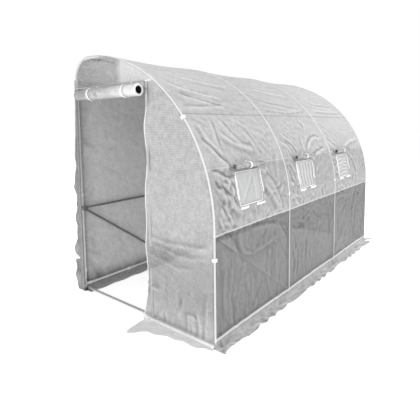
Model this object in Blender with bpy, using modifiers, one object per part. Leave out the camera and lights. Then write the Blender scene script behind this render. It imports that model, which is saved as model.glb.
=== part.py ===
"""Walk-in lean-to tunnel greenhouse: a bolted steel tube frame under a loose mesh-film cover.

Metres, +Z up. The flat back wall stands at -X, the curved side at +X and the door end at -Y.
The origin is on the ground, at the middle of the whole object with its ground skirt.
"""

import math

import bmesh
import bpy
from mathutils import Matrix, Vector

# Driving dimensions
BAY_LENGTH = 1.0          # spacing of the hoops along Y
HOOP_COUNT = 4
FRAME_WIDTH = 1.5         # back post to side post, centre to centre
FRAME_HEIGHT = 2.035      # ground to the centre of the roof tube
EAVE_HEIGHT = 0.80        # where the side post meets the arch
CORNER_RADIUS = 0.17      # bend between back post and roof
TUBE_R = 0.0125           # hoop tube
RAIL_R = 0.0095           # rails, braces and cross rails
TUBE_WALL = 0.001
SPIGOT_R = 0.0103         # swaged tube end that plugs into the next tube
SPIGOT_LENGTH = 0.045
SPIGOT_SHOULDER = 0.0015  # length over which it narrows
GAP = 0.0003              # between touching pieces
SHEET = 0.0015            # thickness that stands for the film
COVER_OFFSET = 0.015      # hoop centre line to the inside of the cover
SIDE_SKIRT = 0.08         # film lying on the ground beside the curved side
END_SKIRT = 0.13          # film lying on the ground at each end
BACK_SKIRT = 0.10         # film tucked inwards under the back wall
LOOSE_CORNER = 0.075      # spare film of the front panel beyond the back wall
LOOSE_CORNER_LOW = 0.35   # height below which that spare film has its full width
LOOSE_CORNER_HIGH = 1.60  # height at which it ends

# Heights and places of the rails, on the hoop's centre line
BASE_RAIL_Z = 0.065
CROSS_RAIL_Z = 0.030
MID_RAIL_Z = 0.76
CORNER_STEPS = 6
ARCH_STEP = 6.0           # degrees to a facet of the arch
TOP_RAIL_ANGLE = 3.0      # from the top of the arch
PURLIN_ANGLE = 54.0
ARCH_JOINT_ANGLE = 36.0   # where the roof tube meets the side tube

# Fasteners
TAB_THICKNESS = 0.002     # a rail end hammered flat
TAB_WIDTH = 0.026
TAB_LENGTH = 0.064
TAB_FLAT = 0.047
TAB_SEAT = 0.0008         # tube to the first tab, which is flat on a bent tube
BOLT_R = 0.003
HOLE_R = BOLT_R + 2.5 * GAP
HEAD_R = 0.0065
HEAD_HEIGHT = 0.0018
NUT_R = 0.0068
NUT_HEIGHT = 0.005

# Door end
DOOR_LEFT = 0.022         # from the back post's centre
DOOR_RIGHT = 0.893
DOOR_TOP = 1.79
DOOR_ROLL_R = 0.046
DOOR_ROLL_BORE = 0.029
DOOR_ROLL_INSET = {"left": 0.110, "right": 0.008}   # roll ends inside the opening's edges
DOOR_ROLL_DROP = 0.060    # header seam to the roll's axis
ZIP_WIDTH = 0.024
ZIP_SLIDER_DROP = 0.045   # top of the zip to its slider when the door is up
DOOR_TIE_X = {"left": 0.32, "right": 0.745}   # from the back post's centre

# Windows, one to a bay
WINDOW_WIDTH = 0.30
WINDOW_FIRST_Y = -1.055
WINDOW_PITCH = 0.93
SCREEN_OFFSET = 0.0112    # hoop centre line to the inside of a screen
WINDOW_LOW_Z = 0.915
WINDOW_HIGH_Z = 1.130
FLAP_Z = 1.175            # height of the wall behind the rolled flap
FLAP_WIDTH = 0.375
FLAP_ROLL_R = 0.020
FLAP_STANDOFF = 0.005     # wall to roll
FLAP_PITCH = 0.075        # slope of the flap's path into the wall, as a tangent

COVER_OUT = COVER_OFFSET + SHEET
ARCH_A = FRAME_WIDTH - CORNER_RADIUS
ARCH_B = FRAME_HEIGHT - EAVE_HEIGHT
LEFT_REACH = COVER_OUT + LOOSE_CORNER
RIGHT_REACH = COVER_OFFSET + SIDE_SKIRT
BACK_X = -(FRAME_WIDTH + RIGHT_REACH - LEFT_REACH) / 2.0
SIDE_X = BACK_X + FRAME_WIDTH
ARCH_X = BACK_X + CORNER_RADIUS
HOOP_Y = [(i - (HOOP_COUNT - 1) / 2.0) * BAY_LENGTH for i in range(HOOP_COUNT)]
FRONT_Y = HOOP_Y[0]
REAR_Y = HOOP_Y[-1]
FRONT_FACE = FRONT_Y - COVER_OUT


def reset_scene():
    for obj in list(bpy.data.objects):
        bpy.data.objects.remove(obj)


def collection(name):
    made = bpy.data.collections.new(name)
    bpy.context.scene.collection.children.link(made)
    return made


def material(name, colour, roughness, metallic=0.0):
    made = bpy.data.materials.new(name)
    made.use_nodes = True
    shader = made.node_tree.nodes["Principled BSDF"]
    shader.inputs["Base Color"].default_value = (*colour, 1.0)
    shader.inputs["Roughness"].default_value = roughness
    shader.inputs["Metallic"].default_value = metallic
    return made


def add(name, data, mat):
    """Links a mesh or curve to the object's collection."""
    obj = bpy.data.objects.new(name, data)
    data.materials.append(mat)
    PARTS.objects.link(obj)
    return obj


def mesh_from(bm, name):
    mesh = bpy.data.meshes.new(name)
    bm.normal_update()
    bm.to_mesh(mesh)
    bm.free()
    return mesh


# The hoop's centre line, in the XZ plane


def arch_point(degrees, offset=0.0):
    """Point on the arch, measured from its top, and moved outwards by offset."""
    angle = math.radians(degrees)
    outward = arch_normal(degrees)
    x = ARCH_X + ARCH_A * math.sin(angle)
    z = EAVE_HEIGHT + ARCH_B * math.cos(angle)
    return Vector((x + offset * outward.x, 0.0, z + offset * outward.z))


def arch_normal(degrees):
    angle = math.radians(degrees)
    return Vector((math.sin(angle) / ARCH_A, 0.0, math.cos(angle) / ARCH_B)).normalized()


def arch_angle_at(z):
    return math.degrees(math.acos((z - EAVE_HEIGHT) / ARCH_B))


def arch_run(start, end, offset=0.0):
    """The arch's points between two angles, with one more facet edge where the top rail is bolted."""
    angles = [start + ARCH_STEP * i for i in range(round((end - start) / ARCH_STEP) + 1)]
    if start < TOP_RAIL_ANGLE < end:
        angles = sorted(angles + [TOP_RAIL_ANGLE])
    return [arch_point(degrees, offset) for degrees in angles]


def corner_run(offset=0.0):
    """From the top of the back post, round the corner bend, to the top of the arch."""
    centre = Vector((BACK_X + CORNER_RADIUS, 0.0, FRAME_HEIGHT - CORNER_RADIUS))
    radius = CORNER_RADIUS + offset
    points = []
    for i in range(CORNER_STEPS + 1):
        angle = math.radians(180.0 - 90.0 * i / CORNER_STEPS)
        points.append(centre + Vector((radius * math.cos(angle), 0.0, radius * math.sin(angle))))
    return points


def cover_outline(offset):
    """The cover's section from the top of the back wall over the roof to the ground."""
    points = corner_run(offset) + arch_run(0.0, 90.0, offset)[1:]
    return points + [Vector((SIDE_X + offset, 0.0, 0.0))]


# Tubes


def tube_mesh(name, path):
    """An open-ended tube skin; path is a list of (point, radius)."""
    curve = bpy.data.curves.new(name, "CURVE")
    curve.dimensions = "3D"
    curve.bevel_depth = 1.0
    curve.bevel_resolution = 2
    spline = curve.splines.new("POLY")
    spline.points.add(len(path) - 1)
    for target, (point, radius) in zip(spline.points, path):
        target.co = (*point, 1.0)
        target.radius = radius
    shape = bpy.data.objects.new(name, curve)
    PARTS.objects.link(shape)
    bpy.context.view_layer.update()
    mesh = bpy.data.meshes.new_from_object(shape.evaluated_get(bpy.context.evaluated_depsgraph_get()))
    bpy.data.objects.remove(shape)
    bm = bmesh.new()
    bm.from_mesh(mesh)
    bmesh.ops.remove_doubles(bm, verts=bm.verts, dist=0.00005)
    bm.to_mesh(mesh)
    bm.free()
    mesh.shade_smooth()
    mesh.set_sharp_from_angle(angle=math.radians(40))
    return mesh


def tube(name, path):
    obj = add(name, tube_mesh(name, path), STEEL)
    modifier = obj.modifiers.new("wall", "SOLIDIFY")
    modifier.thickness = TUBE_WALL
    modifier.offset = -1.0
    modifier.use_even_offset = True
    return obj


def cylinder(bm, start, end, radius, sides=6):
    """Adds a capped cylinder from start to end."""
    axis = end - start
    turn = axis.to_track_quat("Z", "Y").to_matrix().to_4x4()
    place = Matrix.Translation((start + end) / 2.0) @ turn
    bmesh.ops.create_cone(
        bm, cap_ends=True, segments=sides, radius1=radius, radius2=radius,
        depth=axis.length, matrix=place,
    )


def cut(obj, name, shapes):
    """Cuts capped cylinders, each (start, end, radius), out of obj."""
    bm = bmesh.new()
    for start, end, radius in shapes:
        cylinder(bm, start, end, radius)
    cut_with_mesh(obj, name, mesh_from(bm, name))


def cut_with_mesh(obj, name, mesh):
    cutter = bpy.data.objects.new(name, mesh)
    CUTTERS.objects.link(cutter)
    cutter.hide_render = True
    cutter.display_type = "WIRE"
    modifier = obj.modifiers.new("cut", "BOOLEAN")
    modifier.operation = "DIFFERENCE"
    modifier.solver = "EXACT"
    modifier.object = cutter


def hoop_tubes(index):
    """Back post, roof tube and side tube of one hoop, with their bolts."""
    shift = Vector((0.0, HOOP_Y[index], 0.0))
    joint = ARCH_JOINT_ANGLE
    post_top = Vector((BACK_X, 0.0, FRAME_HEIGHT - CORNER_RADIUS))
    clear = SPIGOT_SHOULDER + 2.0 * GAP
    roof_run = corner_run() + arch_run(0.0, joint)[1:]
    spigot_down = [post_top - Vector((0, 0, SPIGOT_LENGTH)), post_top - Vector((0, 0, SPIGOT_SHOULDER))]
    side_run = arch_run(joint, 90.0)
    onwards = (side_run[1] - side_run[0]).normalized()
    spigot_out = [side_run[0] + onwards * s for s in (SPIGOT_SHOULDER, SPIGOT_LENGTH)]
    paths = {
        "back_post": [(Vector((BACK_X, 0, SHEET + GAP)), TUBE_R), (post_top - Vector((0, 0, clear)), TUBE_R)],
        "roof_tube": [(p, SPIGOT_R) for p in spigot_down] + [(p, TUBE_R) for p in roof_run]
        + [(p, SPIGOT_R) for p in spigot_out],
        "side_tube": [(side_run[0] + onwards * clear, TUBE_R)] + [(p, TUBE_R) for p in side_run[1:]]
        + [(Vector((SIDE_X, 0, 0)), TUBE_R)],
    }
    for part, path in paths.items():
        name = f"hoop_{index + 1}_{part}"
        obj = tube(name, [(p + shift, r) for p, r in path])
        places = [place for place in bolt_places(index) if place[0] == part]
        fasten(obj, f"bolts_{name}", places)


def bolt_places(index):
    """(tube, point on its centre line, inward direction, tabs under the nut) of a hoop's bolts."""
    at_end = index in (0, HOOP_COUNT - 1)
    shift = Vector((0, HOOP_Y[index], 0))
    places = []
    braced = "mid_rail" if at_end else "base_rail"
    for rail in RAILS:
        tabs = (1 if at_end else 2) + (1 if braced in rail["name"] else 0)
        places.append((rail["tube"], rail["point"] + shift, rail["inward"], tabs))
    if at_end:
        inward = Vector((0, 1, 0)) if index == 0 else Vector((0, -1, 0))
        for part, x in (("back_post", BACK_X), ("side_tube", SIDE_X)):
            places.append((part, Vector((x, 0, CROSS_RAIL_Z)) + shift, inward, 1))
    return places


def fasten(obj, name, places):
    """Joins to a tube the bolts that pass through it, each with its head outside and its nut inside."""
    bm = bmesh.new()
    for _, point, inward, tabs in places:
        nut_base = level_offset(tabs) + TAB_THICKNESS / 2.0 + GAP
        surface = TUBE_R * math.cos(math.pi / 8.0) - GAP
        profile = [
            (0.0, -TUBE_R - HEAD_HEIGHT), (0.55 * HEAD_R, -TUBE_R - HEAD_HEIGHT), (HEAD_R, -surface),
            (BOLT_R, -surface), (BOLT_R, nut_base), (NUT_R, nut_base), (NUT_R, nut_base + NUT_HEIGHT),
            (0.0, nut_base + NUT_HEIGHT),
        ]
        turn = inward.to_track_quat("Z", "Y").to_matrix().to_4x4()
        turned(bm, profile, Matrix.Translation(point) @ turn, 6)
    hardware = bpy.data.objects.new(name, mesh_from(bm, name))
    CUTTERS.objects.link(hardware)
    hardware.hide_render = True
    hardware.display_type = "WIRE"
    modifier = obj.modifiers.new("bolts", "BOOLEAN")
    modifier.operation = "UNION"
    modifier.solver = "EXACT"
    modifier.object = hardware


# Rails, braces and cross rails, with ends hammered flat


def level_offset(level):
    """Hoop centre line to the middle of the tab stacked at this level, 1 being the first."""
    return TUBE_R + TAB_SEAT + TAB_THICKNESS / 2.0 + (level - 1) * (TAB_THICKNESS + GAP)


def flat_ended_tube(bm, start, end, flat_normal, sides=8):
    """Lofts a round tube between two flat tabs whose bolt holes are at start and end."""
    axis = (end - start).normalized()
    across = axis.cross(flat_normal).normalized()
    over = TAB_WIDTH / 2.0
    flat = (TAB_WIDTH / 2.0, TAB_THICKNESS / 2.0)
    stations = [
        (-over, (0.6 * flat[0], flat[1])),
        (-over * 0.5, flat),
        (TAB_FLAT, flat),
        (TAB_LENGTH, (RAIL_R, RAIL_R)),
    ]
    length = (end - start).length
    stations += [(length - at, size) for at, size in reversed(stations)]
    rings = []
    for at, (half_width, half_thickness) in stations:
        centre = start + axis * at
        ring = []
        for k in range(sides):
            angle = 2.0 * math.pi * (k + 0.5) / sides
            shift = across * (half_width * math.cos(angle)) + flat_normal * (half_thickness * math.sin(angle))
            ring.append(bm.verts.new(centre + shift))
        rings.append(ring)
    for lower, upper in zip(rings, rings[1:]):
        for k in range(sides):
            n = (k + 1) % sides
            bm.faces.new((lower[k], lower[n], upper[n], upper[k]))
    bm.faces.new(list(reversed(rings[0])))
    bm.faces.new(rings[-1])


def flat_ended(name, start, end, normal):
    """A rail with a drilled tab at each end."""
    bm = bmesh.new()
    flat_ended_tube(bm, start, end, normal)
    bmesh.ops.recalc_face_normals(bm, faces=bm.faces)
    mesh = mesh_from(bm, name)
    mesh.shade_smooth()
    mesh.set_sharp_from_angle(angle=math.radians(35))
    obj = add(name, mesh, STEEL)
    reach = 2.0 * TAB_THICKNESS
    cut(obj, f"holes_{name}", [(p - normal * reach, p + normal * reach, HOLE_R) for p in (start, end)])


def lengthwise_rail(rail):
    """One tube to a bay; the middle one laps over its neighbours' tabs."""
    for bay in range(HOOP_COUNT - 1):
        level = 2 if bay == 1 else 1
        place = rail["point"] + rail["inward"] * level_offset(level)
        start, end = (place + Vector((0, HOOP_Y[bay + k], 0)) for k in (0, 1))
        flat_ended(f"{rail['name']}_{bay + 1}", start, end, rail["inward"])


def brace(name, x, inward, high_hoop, low_hoop):
    """A diagonal from the middle rail's bolt on one hoop to the base rails' bolt on the next."""
    start = Vector((x, HOOP_Y[high_hoop], MID_RAIL_Z)) + inward * level_offset(2)
    end = Vector((x, HOOP_Y[low_hoop], BASE_RAIL_Z)) + inward * level_offset(3)
    flat_ended(name, start, end, inward)


def cross_rail(name, hoop, inward):
    shift = inward * level_offset(1)
    start = Vector((BACK_X, HOOP_Y[hoop], CROSS_RAIL_Z)) + shift
    end = Vector((SIDE_X, HOOP_Y[hoop], CROSS_RAIL_Z)) + shift
    flat_ended(name, start, end, inward)


def turned(bm, profile, place, sides):
    """Adds a solid of revolution; profile is (radius, height) and starts and ends on the axis."""
    rings = []
    for radius, height in profile:
        if radius == 0.0:
            rings.append([bm.verts.new(place @ Vector((0, 0, height)))])
            continue
        ring = []
        for k in range(sides):
            angle = 2.0 * math.pi * k / sides
            ring.append(bm.verts.new(place @ Vector((radius * math.cos(angle), radius * math.sin(angle), height))))
        rings.append(ring)
    for lower, upper in zip(rings, rings[1:]):
        for k in range(sides):
            n = (k + 1) % sides
            corners = [lower[k % len(lower)], lower[n % len(lower)], upper[n % len(upper)], upper[k % len(upper)]]
            bm.faces.new(list(dict.fromkeys(corners)))
    bmesh.ops.recalc_face_normals(bm, faces=bm.faces)


# Cover


def swept_sheet(name, section, low_y, high_y, mat):
    """A sheet along section (XZ points), drawn out in Y and thickened outwards."""
    bm = bmesh.new()
    rows = [[bm.verts.new((p.x, y, p.z)) for p in section] for y in (low_y, high_y)]
    for k in range(len(section) - 1):
        bm.faces.new((rows[0][k], rows[0][k + 1], rows[1][k + 1], rows[1][k]))
    obj = add(name, mesh_from(bm, name), mat)
    thicken(obj)
    return obj


def end_panel(name, y, outward, outline, skirt_start):
    """An upright sheet of this (X, Z) outline, with a strip lying outwards on the ground from its foot."""
    bm = bmesh.new()
    upright = [bm.verts.new((x, y, z)) for x, z in outline]
    bm.faces.new(upright)
    foot = sorted((v for v in upright if v.co.z == 0.0), key=lambda v: v.co.x)
    near = min(foot, key=lambda v: abs(v.co.x - skirt_start))
    made = bmesh.ops.extrude_edge_only(bm, edges=[bm.edges.get((near, foot[-1]))])["geom"]
    strip = sorted((v for v in made if isinstance(v, bmesh.types.BMVert)), key=lambda v: v.co.x)
    for vert in strip:
        vert.co.y += outward * END_SKIRT
    strip[-1].co.x = SIDE_X + RIGHT_REACH
    bmesh.ops.recalc_face_normals(bm, faces=bm.faces)
    bm.normal_update()
    bm.faces.ensure_lookup_table()
    if bm.faces[0].normal.y * outward < 0.0:
        bmesh.ops.reverse_faces(bm, faces=bm.faces)
    thicken(add(name, mesh_from(bm, name), FILM))


def thicken(obj):
    modifier = obj.modifiers.new("thickness", "SOLIDIFY")
    modifier.thickness = SHEET
    modifier.offset = 1.0
    modifier.use_even_offset = True


def end_panels():
    """The door end, open below its header, and the plain rear end."""
    outline = [(p.x, p.z) for p in cover_outline(COVER_OUT)]
    back = BACK_X - COVER_OUT
    left, right = BACK_X + DOOR_LEFT, BACK_X + DOOR_RIGHT
    doorway = [(right, 0.0), (right, DOOR_TOP), (left, DOOR_TOP), (left, 0.0)]
    loose = [(back - LOOSE_CORNER, 0.0), (back - LOOSE_CORNER, LOOSE_CORNER_LOW), (back, LOOSE_CORNER_HIGH)]
    end_panel("front_panel", FRONT_Y - COVER_OFFSET, -1.0, outline + doorway + loose, right)
    end_panel("rear_panel", REAR_Y + COVER_OFFSET, 1.0, outline + [(back, 0.0)], back)


def roof_cover():
    """One sheet over the arch, down the curved side and out on the ground, with window holes."""
    edge = REAR_Y + COVER_OFFSET - GAP
    section = cover_outline(COVER_OFFSET) + [Vector((SIDE_X + RIGHT_REACH, 0, 0))]
    obj = swept_sheet("roof_cover", section, -edge, edge, FILM)
    mid_angle = arch_angle_at((WINDOW_LOW_Z + WINDOW_HIGH_Z) / 2.0)
    centre = arch_point(mid_angle, COVER_OFFSET)
    outward = arch_normal(mid_angle)
    bm = bmesh.new()
    for y in WINDOW_Y:
        size = Matrix.Diagonal((0.08, WINDOW_WIDTH, WINDOW_HIGH_Z - WINDOW_LOW_Z, 1.0))
        turn = Matrix.Rotation(-math.atan2(outward.z, outward.x), 4, "Y")
        bmesh.ops.create_cube(bm, size=1.0, matrix=Matrix.Translation(centre + Vector((0, y, 0))) @ turn @ size)
    cut_with_mesh(obj, "window_holes", mesh_from(bm, "window_holes"))


def back_wall_cover():
    """The flat wall sheet, with its lower edge tucked in under the back posts."""
    edge = REAR_Y + COVER_OFFSET - GAP
    wall = BACK_X - COVER_OFFSET
    top = FRAME_HEIGHT - CORNER_RADIUS - GAP
    section = [Vector((BACK_X + BACK_SKIRT, 0, SHEET)), Vector((wall, 0, SHEET)), Vector((wall, 0, top))]
    swept_sheet("back_wall_cover", section, -edge, edge, FILM)


# Windows


def wall_frame(z):
    """(point, outward, downward) on the hoop's centre line at this height of the arch."""
    degrees = arch_angle_at(z)
    outward = arch_normal(degrees)
    return arch_point(degrees), outward, Vector((outward.z, 0, -outward.x))


def window_screens():
    """Insect mesh behind each opening, lapping it all round."""
    lap = 0.022
    low, high = arch_angle_at(WINDOW_HIGH_Z + lap), arch_angle_at(WINDOW_LOW_Z - lap)
    section = [arch_point(low + (high - low) * i / 5.0, SCREEN_OFFSET) for i in range(6)]
    for number, y in enumerate(WINDOW_Y, 1):
        half = WINDOW_WIDTH / 2.0 + lap
        swept_sheet(f"window_screen_{number}", section, y - half, y + half, SCREEN)


def flap_frame():
    """(roll centre, outward, downward along the flap's path), without Y."""
    point, outward, down = wall_frame(FLAP_Z)
    down = (down - outward * FLAP_PITCH).normalized()
    outward = Vector((-down.z, 0, down.x))
    return point + outward * (COVER_OUT + FLAP_STANDOFF + FLAP_ROLL_R), outward, down


def roll(name, centre, axis, half_length, radius, bore, sides, mat):
    """Cloth wound into a hollow roll."""
    place = Matrix.Translation(centre) @ axis.to_track_quat("Z", "Y").to_matrix().to_4x4()
    bm = bmesh.new()
    section = [(bore, -half_length), (radius, -half_length), (radius, half_length), (bore, half_length)]
    rings = []
    for r, height in section:
        ring = []
        for k in range(sides):
            angle = 2.0 * math.pi * k / sides
            ring.append(bm.verts.new(place @ Vector((r * math.cos(angle), r * math.sin(angle), height))))
        rings.append(ring)
    for lower, upper in zip(rings, rings[1:] + rings[:1]):
        for k in range(sides):
            n = (k + 1) % sides
            bm.faces.new((lower[k], lower[n], upper[n], upper[k]))
    bmesh.ops.recalc_face_normals(bm, faces=bm.faces)
    mesh = mesh_from(bm, name)
    mesh.shade_smooth()
    mesh.set_sharp_from_angle(angle=math.radians(40))
    return add(name, mesh, mat)


def hanging_strip(name, centre, outward, down, half_width, roll_r, rise, mat):
    """The short sheet between a header seam and the back of the roll it pays out from."""
    across = outward.cross(down).normalized()
    thickness = 0.0012
    middle = centre - outward * (roll_r + GAP + thickness / 2.0) - down * (rise / 2.0)
    turn = Matrix((outward, across, -down)).transposed().to_4x4()
    size = Matrix.Diagonal((thickness, 2 * half_width, rise - 0.002, 1.0))
    bm = bmesh.new()
    bmesh.ops.create_cube(bm, size=1.0, matrix=Matrix.Translation(middle) @ turn @ size)
    bmesh.ops.recalc_face_normals(bm, faces=bm.faces)
    return add(name, mesh_from(bm, name), mat)


def tie_loop(name, centre, outward, down, roll_r, rise, mat):
    """A webbing loop from the header seam round a roll and back."""
    across = outward.cross(down).normalized()
    half_width, thickness, clear = 0.011, 0.0012, 0.0036
    radius = roll_r + clear
    path = [(-radius, rise + 0.006)]
    steps = 12
    for i in range(steps + 1):
        angle = math.radians(-180.0 + 270.0 * i / steps)
        path.append((radius * math.cos(angle), radius * math.sin(angle)))
    bm = bmesh.new()
    rows = []
    for u, v in path:
        point = centre + outward * u - down * v
        rows.append([bm.verts.new(point - across * half_width), bm.verts.new(point + across * half_width)])
    for a, b in zip(rows, rows[1:] + rows[:1]):
        bm.faces.new((a[0], a[1], b[1], b[0]))
    bmesh.ops.recalc_face_normals(bm, faces=bm.faces)
    obj = add(name, mesh_from(bm, name), mat)
    modifier = obj.modifiers.new("thickness", "SOLIDIFY")
    modifier.thickness = thickness
    modifier.offset = 0.0
    return obj


def window_flaps():
    centre, outward, down = flap_frame()
    half = FLAP_WIDTH / 2.0
    rise = 0.030
    for number, y in enumerate(WINDOW_Y, 1):
        middle = centre + Vector((0, y, 0))
        roll(f"window_flap_roll_{number}", middle, Vector((0, 1, 0)), half, FLAP_ROLL_R, 0.008, 10, FILM)
        hanging_strip(f"window_flap_sheet_{number}", middle, outward, down, half, FLAP_ROLL_R, rise, FILM)
        tie_loop(f"window_tie_{number}", middle, outward, down, FLAP_ROLL_R, rise, WEBBING)


# Door


def door():
    """The rolled-up door, the strip it hangs from, its ties and its two zips."""
    outward, down = Vector((0, -1, 0)), Vector((0, 0, -1))
    left = BACK_X + DOOR_LEFT + DOOR_ROLL_INSET["left"]
    right = BACK_X + DOOR_RIGHT - DOOR_ROLL_INSET["right"]
    half = (right - left) / 2.0
    centre = Vector(((left + right) / 2.0, FRONT_FACE - DOOR_ROLL_R - 0.0065, DOOR_TOP - DOOR_ROLL_DROP))
    roll("door_roll", centre, Vector((1, 0, 0)), half, DOOR_ROLL_R, DOOR_ROLL_BORE, 16, FILM)
    hanging_strip("door_sheet", centre, outward, down, half, DOOR_ROLL_R, DOOR_ROLL_DROP, FILM)
    for side, x in DOOR_TIE_X.items():
        place = Vector((BACK_X + x, centre.y, centre.z))
        tie_loop(f"door_tie_{side}", place, outward, down, DOOR_ROLL_R, DOOR_ROLL_DROP, WEBBING)
    for side in ("left", "right"):
        door_zip(side)


def door_zip(side):
    """A zip tape down one edge of the doorway, with its slider and pull at the top."""
    low, high = 0.03, DOOR_TOP - 0.005
    x = {"left": BACK_X + DOOR_LEFT - ZIP_WIDTH / 2.0, "right": BACK_X + DOOR_RIGHT + ZIP_WIDTH / 2.0}[side]
    tape = (ZIP_WIDTH, 0.001, high - low)
    tape_y = FRONT_FACE - GAP - tape[1] / 2.0
    block(f"door_zip_tape_{side}", [((x, tape_y, (low + high) / 2.0), tape)], WEBBING)
    body, pull = (0.010, 0.006, 0.018), (0.007, 0.0016, 0.034)
    body_y = tape_y - tape[1] / 2.0 - GAP - body[1] / 2.0
    body_z = high - ZIP_SLIDER_DROP
    pull_y = body_y - body[1] / 2.0 - pull[1] / 4.0
    boxes = [((x, body_y, body_z), body), ((x, pull_y, body_z - pull[2] / 2.0 + 0.004), pull)]
    block(f"door_zip_slider_{side}", boxes, STEEL_BRIGHT)


def block(name, boxes, mat):
    """One box, or a second one joined to it; each is (middle, size)."""
    meshes = []
    for middle, size in boxes:
        bm = bmesh.new()
        bmesh.ops.create_cube(bm, size=1.0, matrix=Matrix.Diagonal((*size, 1.0)))
        bmesh.ops.translate(bm, verts=bm.verts, vec=Vector(middle) - Vector(boxes[0][0]))
        meshes.append(mesh_from(bm, name))
    obj = add(name, meshes[0], mat)
    obj.location = boxes[0][0]
    for mesh in meshes[1:]:
        other = bpy.data.objects.new(f"pull_{name}", mesh)
        CUTTERS.objects.link(other)
        other.location = boxes[0][0]
        other.hide_render = True
        other.display_type = "WIRE"
        modifier = obj.modifiers.new("pull", "BOOLEAN")
        modifier.operation = "UNION"
        modifier.solver = "EXACT"
        modifier.object = other
    return obj


def rail_table():
    """Where each lengthwise rail meets a hoop: its tube, the point and the inward direction."""
    into_house = Vector((1, 0, 0))
    rails = [
        ("back_base_rail", "back_post", Vector((BACK_X, 0, BASE_RAIL_Z)), into_house),
        ("back_mid_rail", "back_post", Vector((BACK_X, 0, MID_RAIL_Z)), into_house),
        ("top_rail", "roof_tube", arch_point(TOP_RAIL_ANGLE), -arch_normal(TOP_RAIL_ANGLE)),
        ("roof_purlin", "side_tube", arch_point(PURLIN_ANGLE), -arch_normal(PURLIN_ANGLE)),
        ("side_mid_rail", "side_tube", Vector((SIDE_X, 0, MID_RAIL_Z)), -into_house),
        ("side_base_rail", "side_tube", Vector((SIDE_X, 0, BASE_RAIL_Z)), -into_house),
    ]
    return [dict(zip(("name", "tube", "point", "inward"), row)) for row in rails]


reset_scene()
PARTS = collection("lean_to_greenhouse")
CUTTERS = collection("cutters")
STEEL = material("galvanised_tube", (0.72, 0.73, 0.74), 0.35, 0.6)
STEEL_BRIGHT = material("zinc_fastener", (0.60, 0.61, 0.62), 0.3, 0.9)
FILM = material("mesh_film", (0.80, 0.81, 0.82), 0.4)
SCREEN = material("insect_mesh", (0.72, 0.73, 0.74), 0.7)
WEBBING = material("white_webbing", (0.92, 0.92, 0.92), 0.75)

WINDOW_Y = [WINDOW_FIRST_Y + WINDOW_PITCH * i for i in range(HOOP_COUNT - 1)]
RAILS = rail_table()

for hoop in range(HOOP_COUNT):
    hoop_tubes(hoop)
for row in RAILS:
    lengthwise_rail(row)
IN_FROM_BACK = Vector((1, 0, 0))
brace("back_brace_front_bay", BACK_X, IN_FROM_BACK, 0, 1)
brace("back_brace_rear_bay", BACK_X, IN_FROM_BACK, 3, 2)
brace("side_brace_front_bay", SIDE_X, -IN_FROM_BACK, 0, 1)
brace("side_brace_rear_bay", SIDE_X, -IN_FROM_BACK, 3, 2)
cross_rail("front_threshold_rail", 0, Vector((0, 1, 0)))
cross_rail("rear_base_rail", HOOP_COUNT - 1, Vector((0, -1, 0)))
roof_cover()
back_wall_cover()
end_panels()
window_screens()
window_flaps()
door()
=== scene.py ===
"""Looks of the walk-in lean-to tunnel greenhouse: creased mesh film over a galvanised tube frame."""

import math

import bmesh
import bpy
import numpy as np
from mathutils import Matrix, Vector, geometry, noise


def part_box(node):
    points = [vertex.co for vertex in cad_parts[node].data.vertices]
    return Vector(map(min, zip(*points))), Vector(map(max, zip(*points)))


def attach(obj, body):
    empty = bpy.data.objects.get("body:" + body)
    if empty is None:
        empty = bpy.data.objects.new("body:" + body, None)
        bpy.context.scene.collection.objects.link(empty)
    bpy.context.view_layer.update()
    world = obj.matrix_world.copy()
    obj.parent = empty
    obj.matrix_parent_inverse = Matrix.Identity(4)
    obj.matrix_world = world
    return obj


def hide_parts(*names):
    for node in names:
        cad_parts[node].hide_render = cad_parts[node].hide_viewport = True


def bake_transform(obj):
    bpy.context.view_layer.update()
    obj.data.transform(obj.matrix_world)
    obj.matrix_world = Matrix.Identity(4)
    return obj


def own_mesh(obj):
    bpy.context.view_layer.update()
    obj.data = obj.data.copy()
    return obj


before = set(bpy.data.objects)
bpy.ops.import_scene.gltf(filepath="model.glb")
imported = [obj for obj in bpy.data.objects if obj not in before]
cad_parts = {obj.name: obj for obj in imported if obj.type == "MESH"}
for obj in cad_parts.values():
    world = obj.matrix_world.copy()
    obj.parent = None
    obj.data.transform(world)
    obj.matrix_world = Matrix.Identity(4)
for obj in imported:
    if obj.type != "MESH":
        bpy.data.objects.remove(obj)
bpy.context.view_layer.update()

# Dimensions of the frame, in metres; what a CAD node's box tells is read from it
TUBE_R = 0.0125
RAIL_R = 0.0095
CORNER_R = 0.17
EAVE_Z = 0.80
LIFT = 0.0152             # hoop centre line to the film over it
FILM = 0.0005             # thickness of the film
MESH_PITCH = 0.0115       # between the film's reinforcing threads
COVER_LOW, COVER_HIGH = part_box("roof_cover")
COVER_OUT = 0.0165
RIGHT_REACH = 0.095
BACK_X = COVER_LOW.x + COVER_OUT
SIDE_X = COVER_HIGH.x - RIGHT_REACH
TOP_Z = COVER_HIGH.z - COVER_OUT
WIDTH = SIDE_X - BACK_X
ARCH_A = WIDTH - CORNER_R
ARCH_B = TOP_Z - EAVE_Z
ARCH_X = BACK_X + CORNER_R
HOOP_Y = [sum(v.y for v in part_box(f"hoop_{i}_roof_tube")) / 2.0 for i in (1, 2, 3, 4)]
FRONT_Y, REAR_Y = HOOP_Y[0], HOOP_Y[-1]
SCREEN_LAP = 0.022        # insect mesh beyond its opening, all round
SCREENS = [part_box(f"window_screen_{i}") for i in (1, 2, 3)]
WINDOW_Y = [(low.y + high.y) / 2.0 for low, high in SCREENS]
WINDOW_W = SCREENS[0][1].y - SCREENS[0][0].y - 2.0 * SCREEN_LAP
WINDOW_LOW, WINDOW_HIGH = SCREENS[0][0].z + SCREEN_LAP, SCREENS[0][1].z - SCREEN_LAP
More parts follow.
